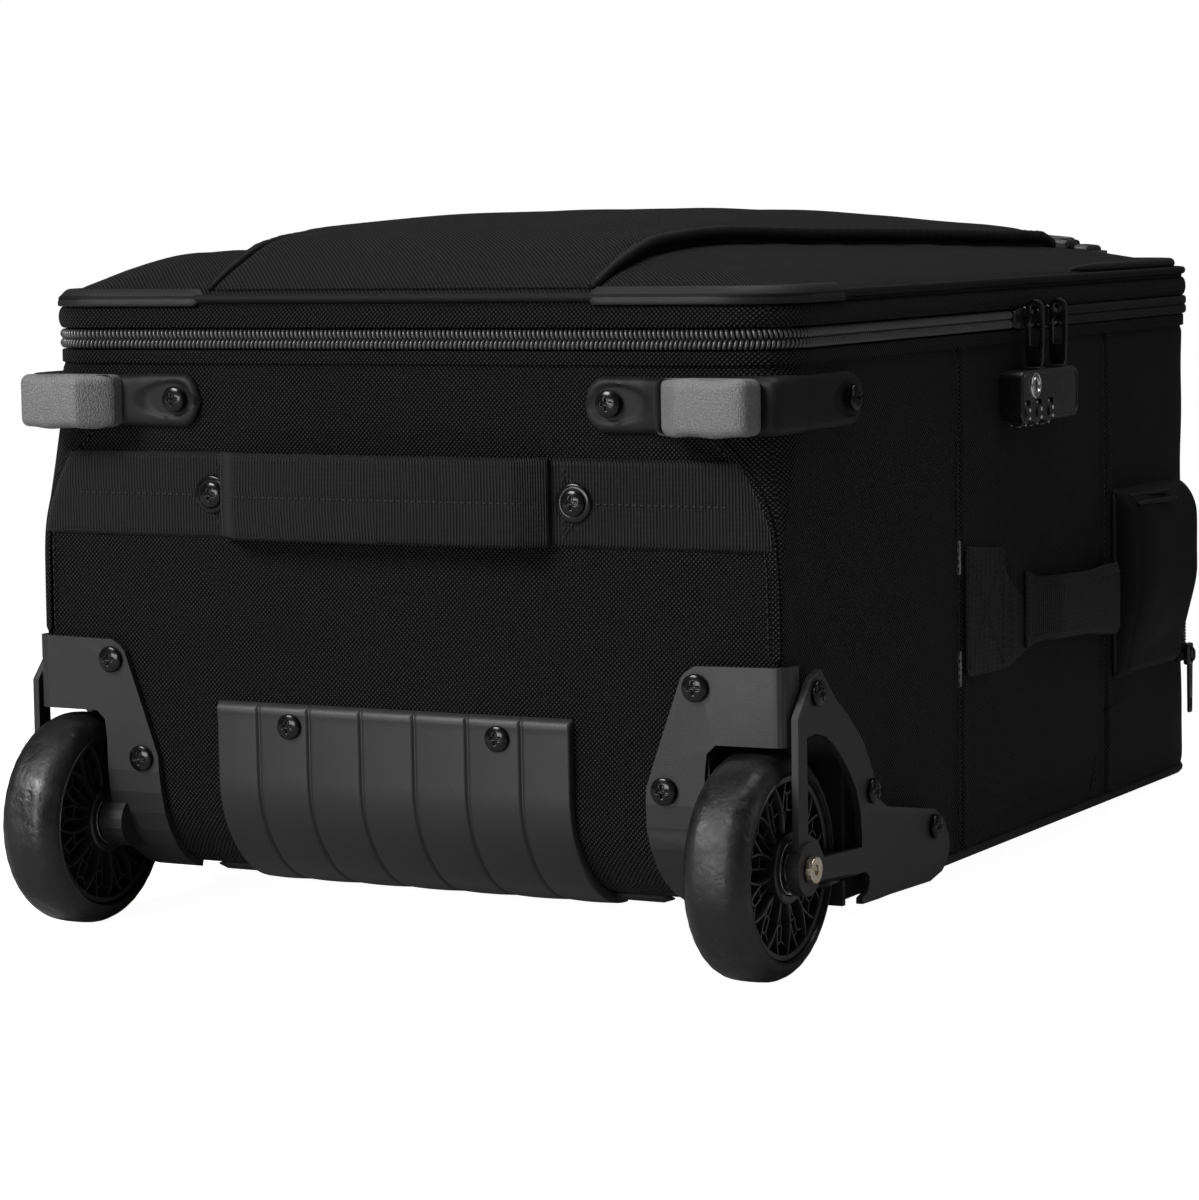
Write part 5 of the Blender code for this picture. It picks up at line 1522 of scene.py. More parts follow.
def make_kick_plate():
    """Grooved plate down the wheel-end face and round the heel."""
    top_z, end_y, step = 0.0800, 0.0505, 0.0025
    turn = np.linspace(0, math.pi / 2, int(HEEL_R * math.pi / 2 / step))
    section = np.vstack([points(0.0, np.arange(top_z, HEEL_R, -step)),
                         points(HEEL_R - HEEL_R * np.cos(turn), HEEL_R - HEEL_R * np.sin(turn)),
                         (end_y, 0.0)])
    tangent = unit(np.gradient(section, axis=0))
    out_y, out_z = tangent[:, 1], -tangent[:, 0]
    travelled = distances(section)
    edges = [-0.0896] + list(KICK_GROOVES_X) + [0.0860]
    close = np.array([0.0006, 0.0010, 0.0015, 0.0022, 0.0035])
    columns = []
    for left, right in zip(edges, edges[1:]):
        columns += [left] + list(left + close)
        columns += list(np.linspace(left + 0.0055, right - 0.0055, 5))
        columns += list(right - close[::-1])
    x = np.array(columns + [edges[-1]])
    to_groove = np.min(np.abs(x[:, None] - np.array(KICK_GROOVES_X)), 1)
    to_edge = np.min(np.abs(x[:, None] - np.array(edges)), 1)
    ribbed = 0.0030 + 0.0003 * smooth(to_edge / 0.010) - 0.0013 * bell(to_groove, 0.0008)
    round_x = round_off(np.minimum(x - x[0], x[-1] - x), 0.0012)
    round_end = round_off(np.minimum(travelled, travelled[-1] - travelled), 0.0025)
    under = 0.0012 * smooth((travelled - 0.060) / 0.03)      # thicker underneath
    roll = 0.0005 * bell(travelled - 0.0025, 0.0016)
    thick = (ribbed[:, None] + under + roll) * np.minimum(round_x[:, None], round_end) + 0.0004

    def skin(lift):
        return points(x[:, None], section[:, 0] + out_y * lift, section[:, 1] + out_z * lift)

    build("kick_plate", *sheet(skin(thick), skin(0.0003)), "charcoal", "case",
          "charcoal_plastic", "bumper_plate")


def make_foot_arm(side, tag):
    """Corner foot: an arm along the end face, a thick corner and an arm along the side."""
    corner_r, height = 0.0270, 0.2105
    turn = np.linspace(0, math.pi / 2, 14)[1:]
    # centre line in plan, from the face screw round the corner to the side screw
    path = resample(np.vstack([
        points(np.linspace(0.0945, HALF_W - corner_r, 18), 0.0),
        points(HALF_W - corner_r + corner_r * np.sin(turn), corner_r - corner_r * np.cos(turn)),
        points(HALF_W, np.linspace(corner_r, 0.0755, 16)[1:])]), 0.0024)
    tangent = unit(np.gradient(path, axis=0))
    travelled = distances(path)[:, None]
    length = travelled[-1, 0]
    left = length - travelled
    half = (0.0125 * round_off(travelled, 0.0125, least=0.002)
            * (1 - 0.09 * smooth((travelled - 0.012) / 0.02)))
    half = np.minimum(half, 0.0116 * round_off(left, 0.0125, least=0.002))
    thick = 0.0034 + 0.0030 * smooth((travelled - 0.026) / 0.012) * smooth((left - 0.052) / 0.030)
    across = np.linspace(-1, 1, 25)
    z = height + across * half
    lift = thick * np.clip(1 - np.abs(across) ** 7, 0, 1) ** 0.5
    lift = lift * round_off(np.minimum(travelled, left), 0.0035, least=0.03)
    # teardrop recess round each screw, drawn out towards the corner
    for screw, radius, inward in ((0.0123, 0.0074, 1), (length - 0.0125, 0.0070, -1)):
        gap = travelled - screw
        rim = np.hypot(gap * np.where(gap * inward > 0, 0.45, 1.0), z - 0.2110) - radius
        lift = lift - 0.0013 * (1 - smooth(rim / 0.0012)) + 0.00020 * bell(rim - 0.0014, 0.0009)

    def skin(rise):
        return points(path[:, :1] + tangent[:, 1:] * rise, path[:, 1:] - tangent[:, :1] * rise, z)

    parts = Parts()
    block = soft_box((0.1332, -0.0060, 0.1986), (0.1845, 0.0300, 0.2222), 0.0042, 8, 5,
                     crown=(0.0003, 0.0006, 0.0004))          # behind the pad, in the corner
    for verts, faces in (sheet(skin(np.maximum(lift, 0.0006)), skin(0.0003)), block):
        verts[:, 0] *= side
        parts.add(verts, faces)
    parts.make("foot_arm_" + tag, ["charcoal_arm"], "case", slot="charcoal_plastic",
               replaces="foot_" + tag, sharp=50)


def make_foot_pad(side, tag):
    """Pad whose face is cut back towards its inner end."""
    verts, faces = soft_box((0.1326, -0.0216, 0.1990), (0.1775, -0.0046, 0.2218), 0.0036, 30, 6,
                            crown=(0.0002, 0.0007, 0.0004))
    share = (verts[:, 0] - 0.1326) / 0.0449
    front = smooth((-0.0120 - verts[:, 1]) / 0.006)
    verts[:, 1] += front * (0.0128 * np.clip(1 - share / 0.31, 0, 1) ** 1.15
                            + 0.0008 * smooth((share - 0.8) / 0.2))
    verts[:, 2] += front * 0.0004 * np.sin(verts[:, 0] * 300)
    verts[:, 0] *= side
    build("foot_pad_cover_" + tag, verts, faces, "pad", "case", "grey_pad", "foot_pad_" + tag)


# --------------------------------------------------------- straps and handles
def make_strap():
    """Wide ribbed webbing along the end face, its ends caught in the corner seams."""
    low = 0.1512
    share, across = np.meshgrid(np.linspace(-1, 1, 150), np.linspace(0, 1, 22), indexing="ij")
    z = lerp(low, low + STRAP_WIDTH, across)
    half = np.interp(z, (0.1510, 0.1625, 0.1750, 0.1885), (0.1795, 0.1772, 0.1715, 0.1640))
    x = share * half
    edge = np.minimum(across, 1 - across) * STRAP_WIDTH
    lift = (0.0016 * round_off(edge, 0.0009)
            * (0.45 + 0.55 * smooth((1 - np.abs(share)) * half / 0.006)))
    lift -= 0.0004 * bell((across - 0.5) * STRAP_WIDTH, 0.0011)
    y = -0.0004 - lift + corner_setback(x, z)
    build("bottom_strap_webbing", *sheet(points(x, y, z), points(x, y + 0.0014, z)),
          "webbing_x", "case", "webbing", "bottom_strap")
    parts = Parts()
    for side in (-1, 1):
        for start, end in (((0.1600, 0.1697), (0.0960, 0.1697)),
                           ((0.0960, 0.1697), (0.0840, 0.1560)),
                           ((0.0960, 0.1697), (0.0840, 0.1840)),
                           ((0.0845, 0.1540), (0.0845, 0.1860))):
            line = [(side * x, -0.0022, z) for x, z in (start, end)]
            stitches(parts, line, (0, -1, 0))
    parts.make("bottom_strap_stitching", ["thread_black"], "case", slot="webbing")


def make_bottom_handle():
    """Raised loop, tucked down at both ends and stitched along the middle."""
    thick = 0.0038
    x = np.linspace(-0.0828, 0.0778, 110)
    share = (x - x[0]) / (x[-1] - x[0])
    tucked = smooth(share / 0.075) * smooth((1 - share) / 0.075)
    lift = 0.0022 + 0.0078 * tucked * (0.90 + 0.10 * np.sin(share * math.pi))
    across = np.linspace(0, 1, 26)
    rounded = round_off(np.minimum(across, 1 - across) * STRAP_WIDTH, 0.0013)
    cup = 0.0005 * np.sin(across * math.pi)
    cup -= 0.0004 * bell((across - 0.5) * STRAP_WIDTH, 0.0010)
    z = 0.1514 + across * STRAP_WIDTH
    column = lift[:, None]
    outer = -(column + thick * (0.3 + 0.7 * rounded) * 0.5 + 0.0012 + cup)
    inner = -(column - thick * 0.5 * rounded * 0.8 + 0.0006)
    build("bottom_handle_webbing",
          *sheet(points(x[:, None], outer, z), points(x[:, None], inner, z)),
          "webbing_x", "grab_bottom", "webbing", "bottom_handle")
    parts = Parts()
    line = points(x, -(lift + 0.0036), 0.1700)[4:-4]
    stitches(parts, line, (0, -1, 0), lift=-0.0001)
    parts.make("bottom_handle_stitching", ["thread_black"], "grab_bottom", slot="webbing")


def flat_oval(count):
    """Squared-off oval section: outward and upward shares of its half sizes."""
    turn = np.linspace(0, 2 * math.pi, count, endpoint=False)
    cosine, sine = np.cos(turn), np.sin(turn)
    return np.sign(sine) * np.abs(sine) ** 0.75, np.sign(cosine) * np.abs(cosine) ** 0.55


def make_side_patch():
    """Ribbed tape fanned out towards the seam, with the stitching that holds it."""
    outline = fillet([(0.1868, 0.0800), (0.2330, 0.0785), (0.2500, 0.0830), (0.2620, 0.0862),
                      (0.2790, 0.0868), (0.2790, 0.1160), (0.2640, 0.1182), (0.2480, 0.1275),
                      (0.2300, 0.1345), (0.1868, 0.1385)], 0.004, 3)
    patch = plate(outline, [], 0.1820, 0.1838, "YZ", bevel=0.0006)
    Parts().add(*patch).make("side_handle_patch", ["webbing_y"], "case", slot="webbing",
                             replaces="side_handle_anchor")
    parts = Parts()
    for line in (((0.1895, 0.0825), (0.1895, 0.1360)), ((0.2290, 0.0810), (0.2290, 0.1330)),
                 ((0.1895, 0.0825), (0.2290, 0.1330)), ((0.2290, 0.0810), (0.1895, 0.1360)),
                 ((0.2380, 0.0830), (0.2380, 0.1290))):
        stitches(parts, [(0.1839, y, z) for y, z in line], (1, 0, 0))
    parts.make("side_handle_patch_stitching", ["thread_black"], "case", slot="webbing")


def make_side_handle():
    """Padded grip, a flattened tube of webbing, and the bar tacks of its patch."""
    rows, sides, base_x = 70, 28, 0.1828
    t = np.linspace(0, 1, rows)
    y, mid_z = lerp(0.2540, 0.3690, t), lerp(0.1035, 0.0985, t)
    half = 0.0150 + 0.0022 * smooth((t - 0.55) / 0.3) + 0.0030 * smooth((0.12 - t) / 0.12)
    bow = 0.0019 + 0.0046 * smooth(t / 0.28) * smooth((1.04 - t) / 0.16)
    thick = 0.0014 + 0.0018 * smooth(t / 0.3) * smooth((1.03 - t) / 0.2)
    out, up = flat_oval(sides)
    verts = points((base_x + bow)[:, None] + thick[:, None] * out, y[:, None],
                   mid_z[:, None] + half[:, None] * up)
    build("side_handle_webbing", verts, tube_faces(rows, sides), "webbing_y", "grab_side",
          "webbing", "side_handle_grip")
    parts = Parts()
    for share in (-0.78, 0.78):
        line = points(base_x + bow + thick * 0.92, y, mid_z + half * share)[3:-3]
        stitches(parts, line, (1, 0, 0), lift=0.0)
    parts.make("side_handle_stitching", ["thread_black"], "grab_side", slot="webbing")
    parts = Parts()
    for low, high in ((0.1265, 0.1412), (0.0765, 0.0918)):
        for k, z in enumerate(np.arange(low, high, 0.00062)):
            y = 0.1812 + 0.0001 * math.sin(k * 2.1)
            thread = [(0.1822, y - 0.00135, z), (0.1828, y - 0.0007, z + 0.0001),
                      (0.1829, y + 0.0007, z + 0.0002), (0.1822, y + 0.00135, z + 0.0003)]
            parts.add(*sweep(thread, (1, 0, 0), round_profile(0.00030, 6)))
    parts.make("side_bar_tacks", ["thread_grey"], "case", slot="grey_pad")


def make_side_pocket():
    """Soft crowned pouch near the handle end."""
    near, low, width, height = 0.3715, 0.0570, 0.0905, 0.0935
    along, up = np.meshgrid(np.linspace(0, 1, 60), np.linspace(0, 1, 64), indexing="ij")
    y, z = lerp(near, near + width, along), lerp(low, low + height, up)
    edge = np.minimum(np.minimum(along, 1 - along) * width, np.minimum(up, 1 - up) * height)
    round_y = round_off(np.where(along < 0.5, along * width / 0.022,
                                 (1 - along) * width / 0.016), 1.0)
    round_top = round_off((1 - up) * height, 0.017)
    foot = smooth(up * height / 0.050) * 0.62 + 0.38 * np.clip(up * height / 0.004, 0, 1)
    x = 0.1822 + 0.0002 + 0.0160 * round_y * round_top * foot
    obj = build("side_pocket_cover", *sheet(points(x, y, z), points(0.1821, y, z)),
                "plain_nylon", "case", "ballistic_nylon", "side_pocket")
    edge = np.concatenate([edge.ravel(), np.zeros(edge.size)])
    cloth(obj, edge < 0.004, pressure=2.0, cap=0.0012, frames=14, stiff=30, bend=3)
    place = layout(obj)
    swell = ripple(place, seed=31, height=0.00030) * smooth(edge / 0.015)
    swell -= 0.0006 * bell(place[:, 1] - 0.3790, 0.0010) * (edge > 0.001)     # upright seam
    displace(obj, swell)
    subdivide(obj)


def make_side_pocket_trim():
    """Piped edge on the wheel side, welts near the top, and the zip down the far edge."""
    parts = Parts()
    edge = points(0.1832, 0.3716, np.linspace(0.0600, 0.1480, 50))
    parts.add(*sweep(edge, (0.6, -0.8, 0), round_profile(0.0013), taper=0.004))
    y = np.linspace(0.3780, 0.4200, 26)
    bend = 0.0050 * np.sin((y - y[0]) / (y[-1] - y[0]) * 1.5)
    for shift_x, shift_z in ((-0.0022, 0.0018), (0.0018, -0.0018)):
        welt = points(0.1915 + shift_x + bend, y, 0.1452 + shift_z)
        parts.add(*sweep(welt, (0.6, 0, 0.8), round_profile(0.0011, 8), taper=0.004))
    parts.make("side_pocket_piping", ["binding"], "case", slot="webbing")
    parts = Parts()
    for z in np.arange(0.0600, 0.1380, 0.0016):
        parts.add(*soft_box((0.1842, 0.4640, z), (0.1858, 0.4684, z + 0.0011), 0.0004, 1, 1))
    parts.add(*soft_box((0.1821, 0.4605, 0.0560), (0.1843, 0.4715, 0.1420), 0.0006, 4, 2), 1)
    parts.make("side_pocket_zip", ["coil", "zip_tape"], "case", slot="coil")


def make_side_seams():
    parts = Parts()
    skin = HALF_W + 0.0001
    # lower panel: level seam, and a curve that runs down to the back edge
    level = soften(resample([(skin, 0.3625, 0.0430), (skin, 0.4000, 0.0470),
                             (skin, 0.4700, 0.0490)], 0.004), 4)
    curve = soften(resample([(HALF_W, 0.3599, 0.0760), (HALF_W, 0.3599, 0.0540),
                             (HALF_W, 0.3570, 0.0420), (HALF_W, 0.3490, 0.0200),
                             (HALF_W, 0.3420, 0.0060)], 0.003), 4)
    for side in (1, -1):
        mirror, out = (side, 1, 1), (side, 0, 0)
        parts.add(*sweep(level * mirror, out, band_profile(0.0024, 0.0006), taper=0.003))
        parts.add(*sweep(curve * mirror, out, band_profile(0.0030, 0.0004), taper=0.002))
        for y, low in ((0.1816, 0.0060), (0.3611, 0.0730)):
            path = points(side * HALF_W, y - 0.0012, np.linspace(low, 0.2240, 90))
            parts.add(*sweep(path, out, band_profile(0.0030, 0.0004), taper=0.003))
    parts.make("side_seams", ["ballistic"], "case", slot="ballistic_nylon")
    parts = Parts()
    for side in (1, -1):
        for y, low in ((0.1798, 0.0080), (0.3593, 0.0560)):
            line = [(side * (skin + 0.0006), y, z) for z in (low, 0.2230)]
            stitches(parts, line, (side, 0, 0))
    parts.make("side_seam_stitching", ["thread_black"], "case", slot="webbing")


# Curved seam at each end of the wheel-end face: distance from the middle, height.
END_SEAM = ((0.1520, 0.1985), (0.1560, 0.1960), (0.1640, 0.1885), (0.1705, 0.1785),
            (0.1750, 0.1690), (0.1780, 0.1580), (0.1792, 0.1450), (0.1796, 0.1200),
            (0.1797, 0.1060))


def make_end_seams():
    seams, thread = Parts(), Parts()
    x, z = soften(resample(END_SEAM, 0.003), 3).T
    for side in (-1, 1):
        path = points(side * x, corner_setback(x, z) - 0.0001, z)
        seams.add(*sweep(path, (side * 0.25, -1, 0), band_profile(0.0034, 0.0006), taper=0.003))
        stitches(thread, path - (side * 0.0034, 0.0002, 0), (0, -1, 0))
    seams.make("end_face_seams", ["ballistic"], "case", slot="ballistic_nylon")
    thread.make("end_face_stitching", ["thread_black"], "case", slot="webbing")


# ---------------------------------------------------------------------- lock
DIALS_Y = (0.2350, 0.2490, 0.2630)
DIAL_X, DIAL_Z, DIAL_R = 0.1895, 0.1945, 0.0058
KEY_Y, KEY_Z, LOCK_FACE_X = 0.2449, 0.2072, 0.1938
SLIDERS_Y = (("front", 0.2550), ("rear", 0.2835))


def rectangle(low, high):
    return [low, (high[0], low[1]), high, (low[0], high[1])]


def make_lock_case():
    outline = fillet(rectangle((0.2282, 0.1907), (0.2978, 0.2140)), 0.0045, 6)
    parts = Parts().add(*plate(outline, [circle((KEY_Y, KEY_Z), 0.0049, 32)], 0.1823,
                               LOCK_FACE_X, "YZ", bevel=0.0010, segments=3))
    # raised frame round the edge, and blocks below the sliders
    border = fillet(rectangle((0.2300, 0.1925), (0.2960, 0.2122)), 0.0035, 6)
    path = resample([(LOCK_FACE_X, y, z) for y, z in border], 0.0015, True)
    parts.add(*sweep(path, (1, 0, 0), round_profile(0.0005, 8, tall=0.9), closed=True), 1)
    for _, y in SLIDERS_Y:
        parts.add(*soft_box((0.1852, y - 0.0030, 0.2136), (0.1930, y + 0.0030, 0.2150),
                            0.0006, 2, 2), 1)
    obj = parts.make("lock_case", ["gloss_black", "charcoal"], "case", slot="black_plastic",
                     replaces="lock_housing", sharp=40)
    slots = Parts()
    for y in DIALS_Y:
        slots.add(*soft_box((0.1835, y - 0.0031, 0.1800), (0.2000, y + 0.0031, 0.2008),
                            0.0003, 1, 1))
    cut(obj, slots, "gloss_black")
    smooth_to(obj, 35)


def make_lock_dials():
    profile = mirrored([(0.0010, -0.00265), (0.0050, -0.00265), (0.0056, -0.0021),
                        (DIAL_R, -0.0012)])
    tick = [(0.00005, -0.0004), (0.00095, -0.0004), (0.00085, 0.00016), (0.00005, 0.00016)]
    for i, y in enumerate(DIALS_Y):
        centre = np.array((DIAL_X, y, DIAL_Z))
        verts, faces = lathe(profile, centre, (0, 1, 0), 60)
        x, _, z = (verts - centre).T
        radius = np.hypot(x, z)
        notch = (radius > 0.0054) * 0.00028 * (np.sin(np.arctan2(z, x) * 20) < 0)
        verts = verts - points(x / radius, 0.0, z / radius) * notch[:, None]
        parts = Parts().add(verts, faces)
        for j in range(10):                        # one white tick for each place on the dial
            turn = 2 * math.pi * j / 10 - math.pi / 2
            out = np.array((math.cos(turn), 0, math.sin(turn)))
            parts.add(*lathe(tick, centre + out * 0.00578, out, 12), 1)
        parts.make(f"lock_dial_wheel_{i + 1}", ["satin_black", "white_mark"], f"dial_{i + 1}",
                   slot="black_plastic", replaces=f"lock_dial_{i + 1}", sharp=35)


def make_lock_key():
    barrel = [(0.0001, 0.0), (0.0044, 0.0), (0.0044, 0.0074), (0.0041, 0.0082),
              (0.0030, 0.0084), (0.0028, 0.0079), (0.0001, 0.0078)]
    parts = Parts().add(*lathe(barrel, (0.1864, KEY_Y, KEY_Z), (1, 0, 0), 48))
    parts.add(*soft_box((0.1940, KEY_Y - 0.0004, KEY_Z - 0.0024),
                        (0.1945, KEY_Y + 0.0004, KEY_Z + 0.0024), 0.0002, 1, 1), 1)
    parts.make("lock_key_barrel", ["chrome", "satin_black"], "key_cylinder", slot="nickel",
               replaces="lock_key_cylinder", sharp=40)
    ring = [(0.0046, -0.0004), (0.0060, -0.0004), (0.0060, 0.0001), (0.0055, 0.0005),
            (0.0046, 0.0005)]
    Parts().add(*lathe(ring, (0.1940, KEY_Y, KEY_Z), (1, 0, 0), 48)).make(
        "lock_key_ring", ["chrome"], "case", slot="nickel")


def make_zip_slider(tag, y):
    parts = Parts()
    verts, faces = soft_box((0.1826, y - 0.0120, 0.2320), (0.1846, y + 0.0120, 0.2420), 0.0009,
                            8, 3, crown=(0.0004, 0, 0))
    share = (verts[:, 1] - y) / 0.0120
    verts[:, 2] = 0.2370 + (verts[:, 2] - 0.2370) * (1 - 0.28 * np.abs(share) ** 3)
    parts.add(verts, faces)
    # bridge that holds the pull
    bridge = soften(resample([(0.1842, y, 0.2330), (0.1868, y, 0.2345), (0.1880, y, 0.2375),
                              (0.1868, y, 0.2405), (0.1842, y, 0.2418)], 0.0008), 2)
    parts.add(*sweep(bridge, (1, 0, 0.001), round_profile(0.0009, wide=1.3)))
    parts.make("zip_slider_body_" + tag, ["gloss_black"], "slider_" + tag,
               slot="black_plastic", replaces="main_slider_" + tag, sharp=50)


def make_zip_pull(tag, y):
    x, half = 0.1896, 0.0043
    outline = [(x + half * math.cos(a), 0.2415 + half * math.sin(a))
               for a in np.linspace(0, math.pi, 18)]
    outline += [(x + half * share, z) for share, z in (
        (-1, 0.2300), (-0.92, 0.2170), (-0.70, 0.2152), (0.70, 0.2152), (0.92, 0.2170),
        (1, 0.2300))]
    hole = fillet(rectangle((x - 0.0024, 0.2245), (x + 0.0024, 0.2350)), 0.0011, 3)
    eye = circle((x, 0.2412), 0.0022, 20)
    tab = plate(outline, [hole, eye], y - 0.0010, y + 0.0010, "XZ", bevel=0.0004)
    Parts().add(*tab).make("zip_pull_tab_" + tag, ["gloss_black"], "pull_" + tag,
                           slot="black_plastic", replaces="main_pull_" + tag, sharp=40)


def make_pocket_pull():
    y = 0.4662
    parts = Parts().add(*soft_box((0.1860, 0.4627, 0.0545), (0.1892, 0.4697, 0.0655), 0.0010,
                                  4, 3, crown=(0.0003, 0, 0)))
    bridge = soften(resample([(0.1888, y, 0.0560), (0.1908, y, 0.0575), (0.1908, y, 0.0620),
                              (0.1888, y, 0.0640)], 0.0008), 2)
    parts.add(*sweep(bridge, (1, 0, 0.001), round_profile(0.0007, 8)))
    outline = fillet([(0.4640, 0.0300), (0.4684, 0.0300), (0.4690, 0.0560), (0.4634, 0.0560)],
                     0.0012, 4)
    hole = fillet([(0.4651, 0.0320), (0.4673, 0.0320), (0.4674, 0.0375), (0.4650, 0.0375)],
                  0.0006, 3)
    parts.add(*plate(outline, [hole], 0.1876, 0.1890, "YZ", bevel=0.0003))
    parts.make("pocket_zip_pull", ["gloss_black"], "pocket_zip", slot="black_plastic",
               replaces="pocket_slider", sharp=40)


# ------------------------------------------------------- handle end of the case
def make_top_handle():
    rows, sides, mid_z = 90, 30, 0.1425
    share = np.linspace(-1, 1, rows)
    x, to_middle = share * 0.0905, np.abs(share)
    y = LENGTH + 0.0004 + 0.0018 + 0.0062 * smooth((1 - to_middle) / 0.30)
    thick = 0.0013 + 0.0020 * smooth((0.80 - to_middle) / 0.20)
    half = 0.0172 - 0.0028 * smooth((0.80 - to_middle) / 0.15)
    out, up = flat_oval(sides)
    verts = points(x[:, None], y[:, None] + thick[:, None] * out, mid_z + half[:, None] * up)
    build("top_handle_webbing", verts, tube_faces(rows, sides), "webbing_x", "grab_top",
          "webbing", "top_handle")
    parts = Parts()
    for level in (-0.72, 0.72):
        line = points(x, y + thick * 0.94, mid_z + half * level)[4:-4]
        stitches(parts, line, (0, 1, 0), lift=0.0)
    parts.make("top_handle_stitching", ["thread_black"], "grab_top", slot="webbing")


def make_top_anchors():
    """Patches under the ends of the handle, stitched in crossed boxes."""
    parts = Parts()
    for side in (-1, 1):
        parts.add(*soft_box((side * 0.0820, LENGTH + 0.0002, 0.1230),
                            (side * 0.1200, LENGTH + 0.0016, 0.1620), 0.0006, 10, 2))
    parts.make("top_handle_anchors", ["webbing_x"], "case", slot="webbing")
    parts = Parts()
    low, high = 0.1260, 0.1590
    for side in (-1, 1):
        inner, outer = side * 0.0960, side * 0.1165
        for line in (((inner, low), (outer, high)), ((outer, low), (inner, high)),
                     ((inner, low), (outer, low)), ((inner, high), (outer, high)),
                     ((inner, low), (inner, high)), ((outer, low), (outer, high))):
            stitches(parts, [(x, LENGTH + 0.0017, z) for x, z in line], (0, 1, 0))
    parts.make("top_handle_anchor_stitching", ["thread_black"], "case", slot="webbing")


def make_lid_buckle():
    """Two low hardware pieces at the far end of the lid, on a short tape."""
    mid_y, tilt_x, tilt = 0.4760, 0.1090, 0.10
    parts = Parts()
    tape = on_lid(np.linspace(0.0840, 0.1400, 20), mid_y, 0.0007)
    parts.add(*sweep(tape, (0, 0, 1), band_profile(0.0200, 0.0013), taper=0.003), 1)
    base = float(lid_height(lid_depth(0.1140, mid_y))) + 0.0016
    for left, right, height in ((0.0990, 0.1230, 0.0058), (0.1255, 0.1345, 0.0040)):
        verts, faces = soft_box((left, 0.4665, base), (right, 0.4855, base + height), 0.0018,
                                5, 4, crown=(0, 0, 0.0004))
        verts[:, 2] -= (verts[:, 0] - tilt_x) * tilt
        parts.add(verts, faces)
    x = np.linspace(0.1010, 0.1210, 12)
    for y in (0.4705, 0.4815):                     # ribs along the larger piece
        rib = points(x, y, base + 0.0062 - (x - tilt_x) * tilt)
        parts.add(*sweep(rib, (0, 0, 1), round_profile(0.0008, 8), taper=0.002))
    parts.make("lid_strap_hardware", ["satin_black", "webbing_x"], "lid",
               slot="black_plastic", replaces="lid_strap_buckle", sharp=50)


# --------------------------------------------------------------- CAD pieces kept
# Nodes, material, bevel width, bevel segments.
CAD_FINISHES = (
    (("wheel_housing_right", "wheel_housing_left"), "charcoal", 0.0007, 3),
    (("side_guard_right", "side_guard_left"), "charcoal", 0.0006, 3),
    (("axle_bolt_right", "axle_bolt_left"), "nickel", 0.0004, 2),
    (("bearing_right_inner", "bearing_right_outer", "bearing_left_inner", "bearing_left_outer"),
     "steel", 0.0002, 2),
    (("trolley_sleeve_left", "trolley_sleeve_right", "release_linkage"), "steel", 0.0, 0),
    (("trolley_stage_1", "trolley_stage_2_left", "trolley_stage_2_right"), "anodised",
     0.0002, 2),
    (("trolley_bezel",), "charcoal", 0.0007, 3),
    (("trolley_grip",), "satin_black", 0.0010, 3),
    (("release_button",), "charcoal", 0.0007, 3),
    (("back_board",), "board", 0.0, 0))


def set_slot(obj, index, mat):
    obj.material_slots[index].link = "OBJECT"
    obj.material_slots[index].material = MATERIALS[mat]


def finish_cad(name, mat, bevel, segments):
    """Keeps a CAD node, softens its edges and gives it its finish."""
    obj = CAD_NODES[name]
    if not obj.data.materials:
        obj.data.materials.append(MATERIALS[mat])
    for i in range(len(obj.material_slots)):
        set_slot(obj, i, mat)
    if bevel:
        weld = obj.modifiers.new("weld", "WELD")
        weld.merge_threshold = 0.000005
        edges = obj.modifiers.new("bevel", "BEVEL")
        edges.width, edges.segments, edges.limit_method = bevel, segments, "ANGLE"
        edges.angle_limit = math.radians(30)
        edges.use_clamp_overlap = True


def blacken_axle_boss(name):
    """The turned boss round the axle is plain black."""
    obj = CAD_NODES[name]
    obj.data.materials.append(MATERIALS["hub_black"])
    black = len(obj.material_slots) - 1
    set_slot(obj, black, "hub_black")
    for face in obj.data.polygons:
        centre = obj.matrix_world @ face.center
        from_axle = math.hypot(centre.y - TO_FRAME[1] - AXLE_Y, centre.z - AXLE_Z)
        if from_axle < 0.0135 and abs(centre.x) > 0.1385:
            face.material_index = black


# ------------------------------------------------------------------- assembly
make_body()
make_back_piping()
make_back_panel()
make_lining()
make_lining_boxes()
make_rod_sleeve()
make_divider()
make_lid()
make_lid_pocket()
make_lid_pocket_seams()
make_lid_pocket_flap()
make_lid_edges()
make_lid_lining()
make_laptop_sleeve()
make_zip()
make_hinge()
make_screws()
make_wheels()
make_kick_plate()
for side, tag in SIDES:
    make_foot_arm(side, tag)
    make_foot_pad(side, tag)
make_strap()
make_bottom_handle()
make_side_patch()
make_side_handle()
make_side_pocket()
make_side_pocket_trim()
make_side_seams()
make_end_seams()
make_lock_case()
make_lock_dials()
make_lock_key()
for tag, y in SLIDERS_Y:
    make_zip_slider(tag, y)
    make_zip_pull(tag, y)
make_pocket_pull()
make_top_handle()
make_top_anchors()
make_lid_buckle()
for names, mat, bevel, segments in CAD_FINISHES:
    for name in names:
        finish_cad(name, mat, bevel, segments)
for name in CAD_FINISHES[0][0]:
    blacken_axle_boss(name)


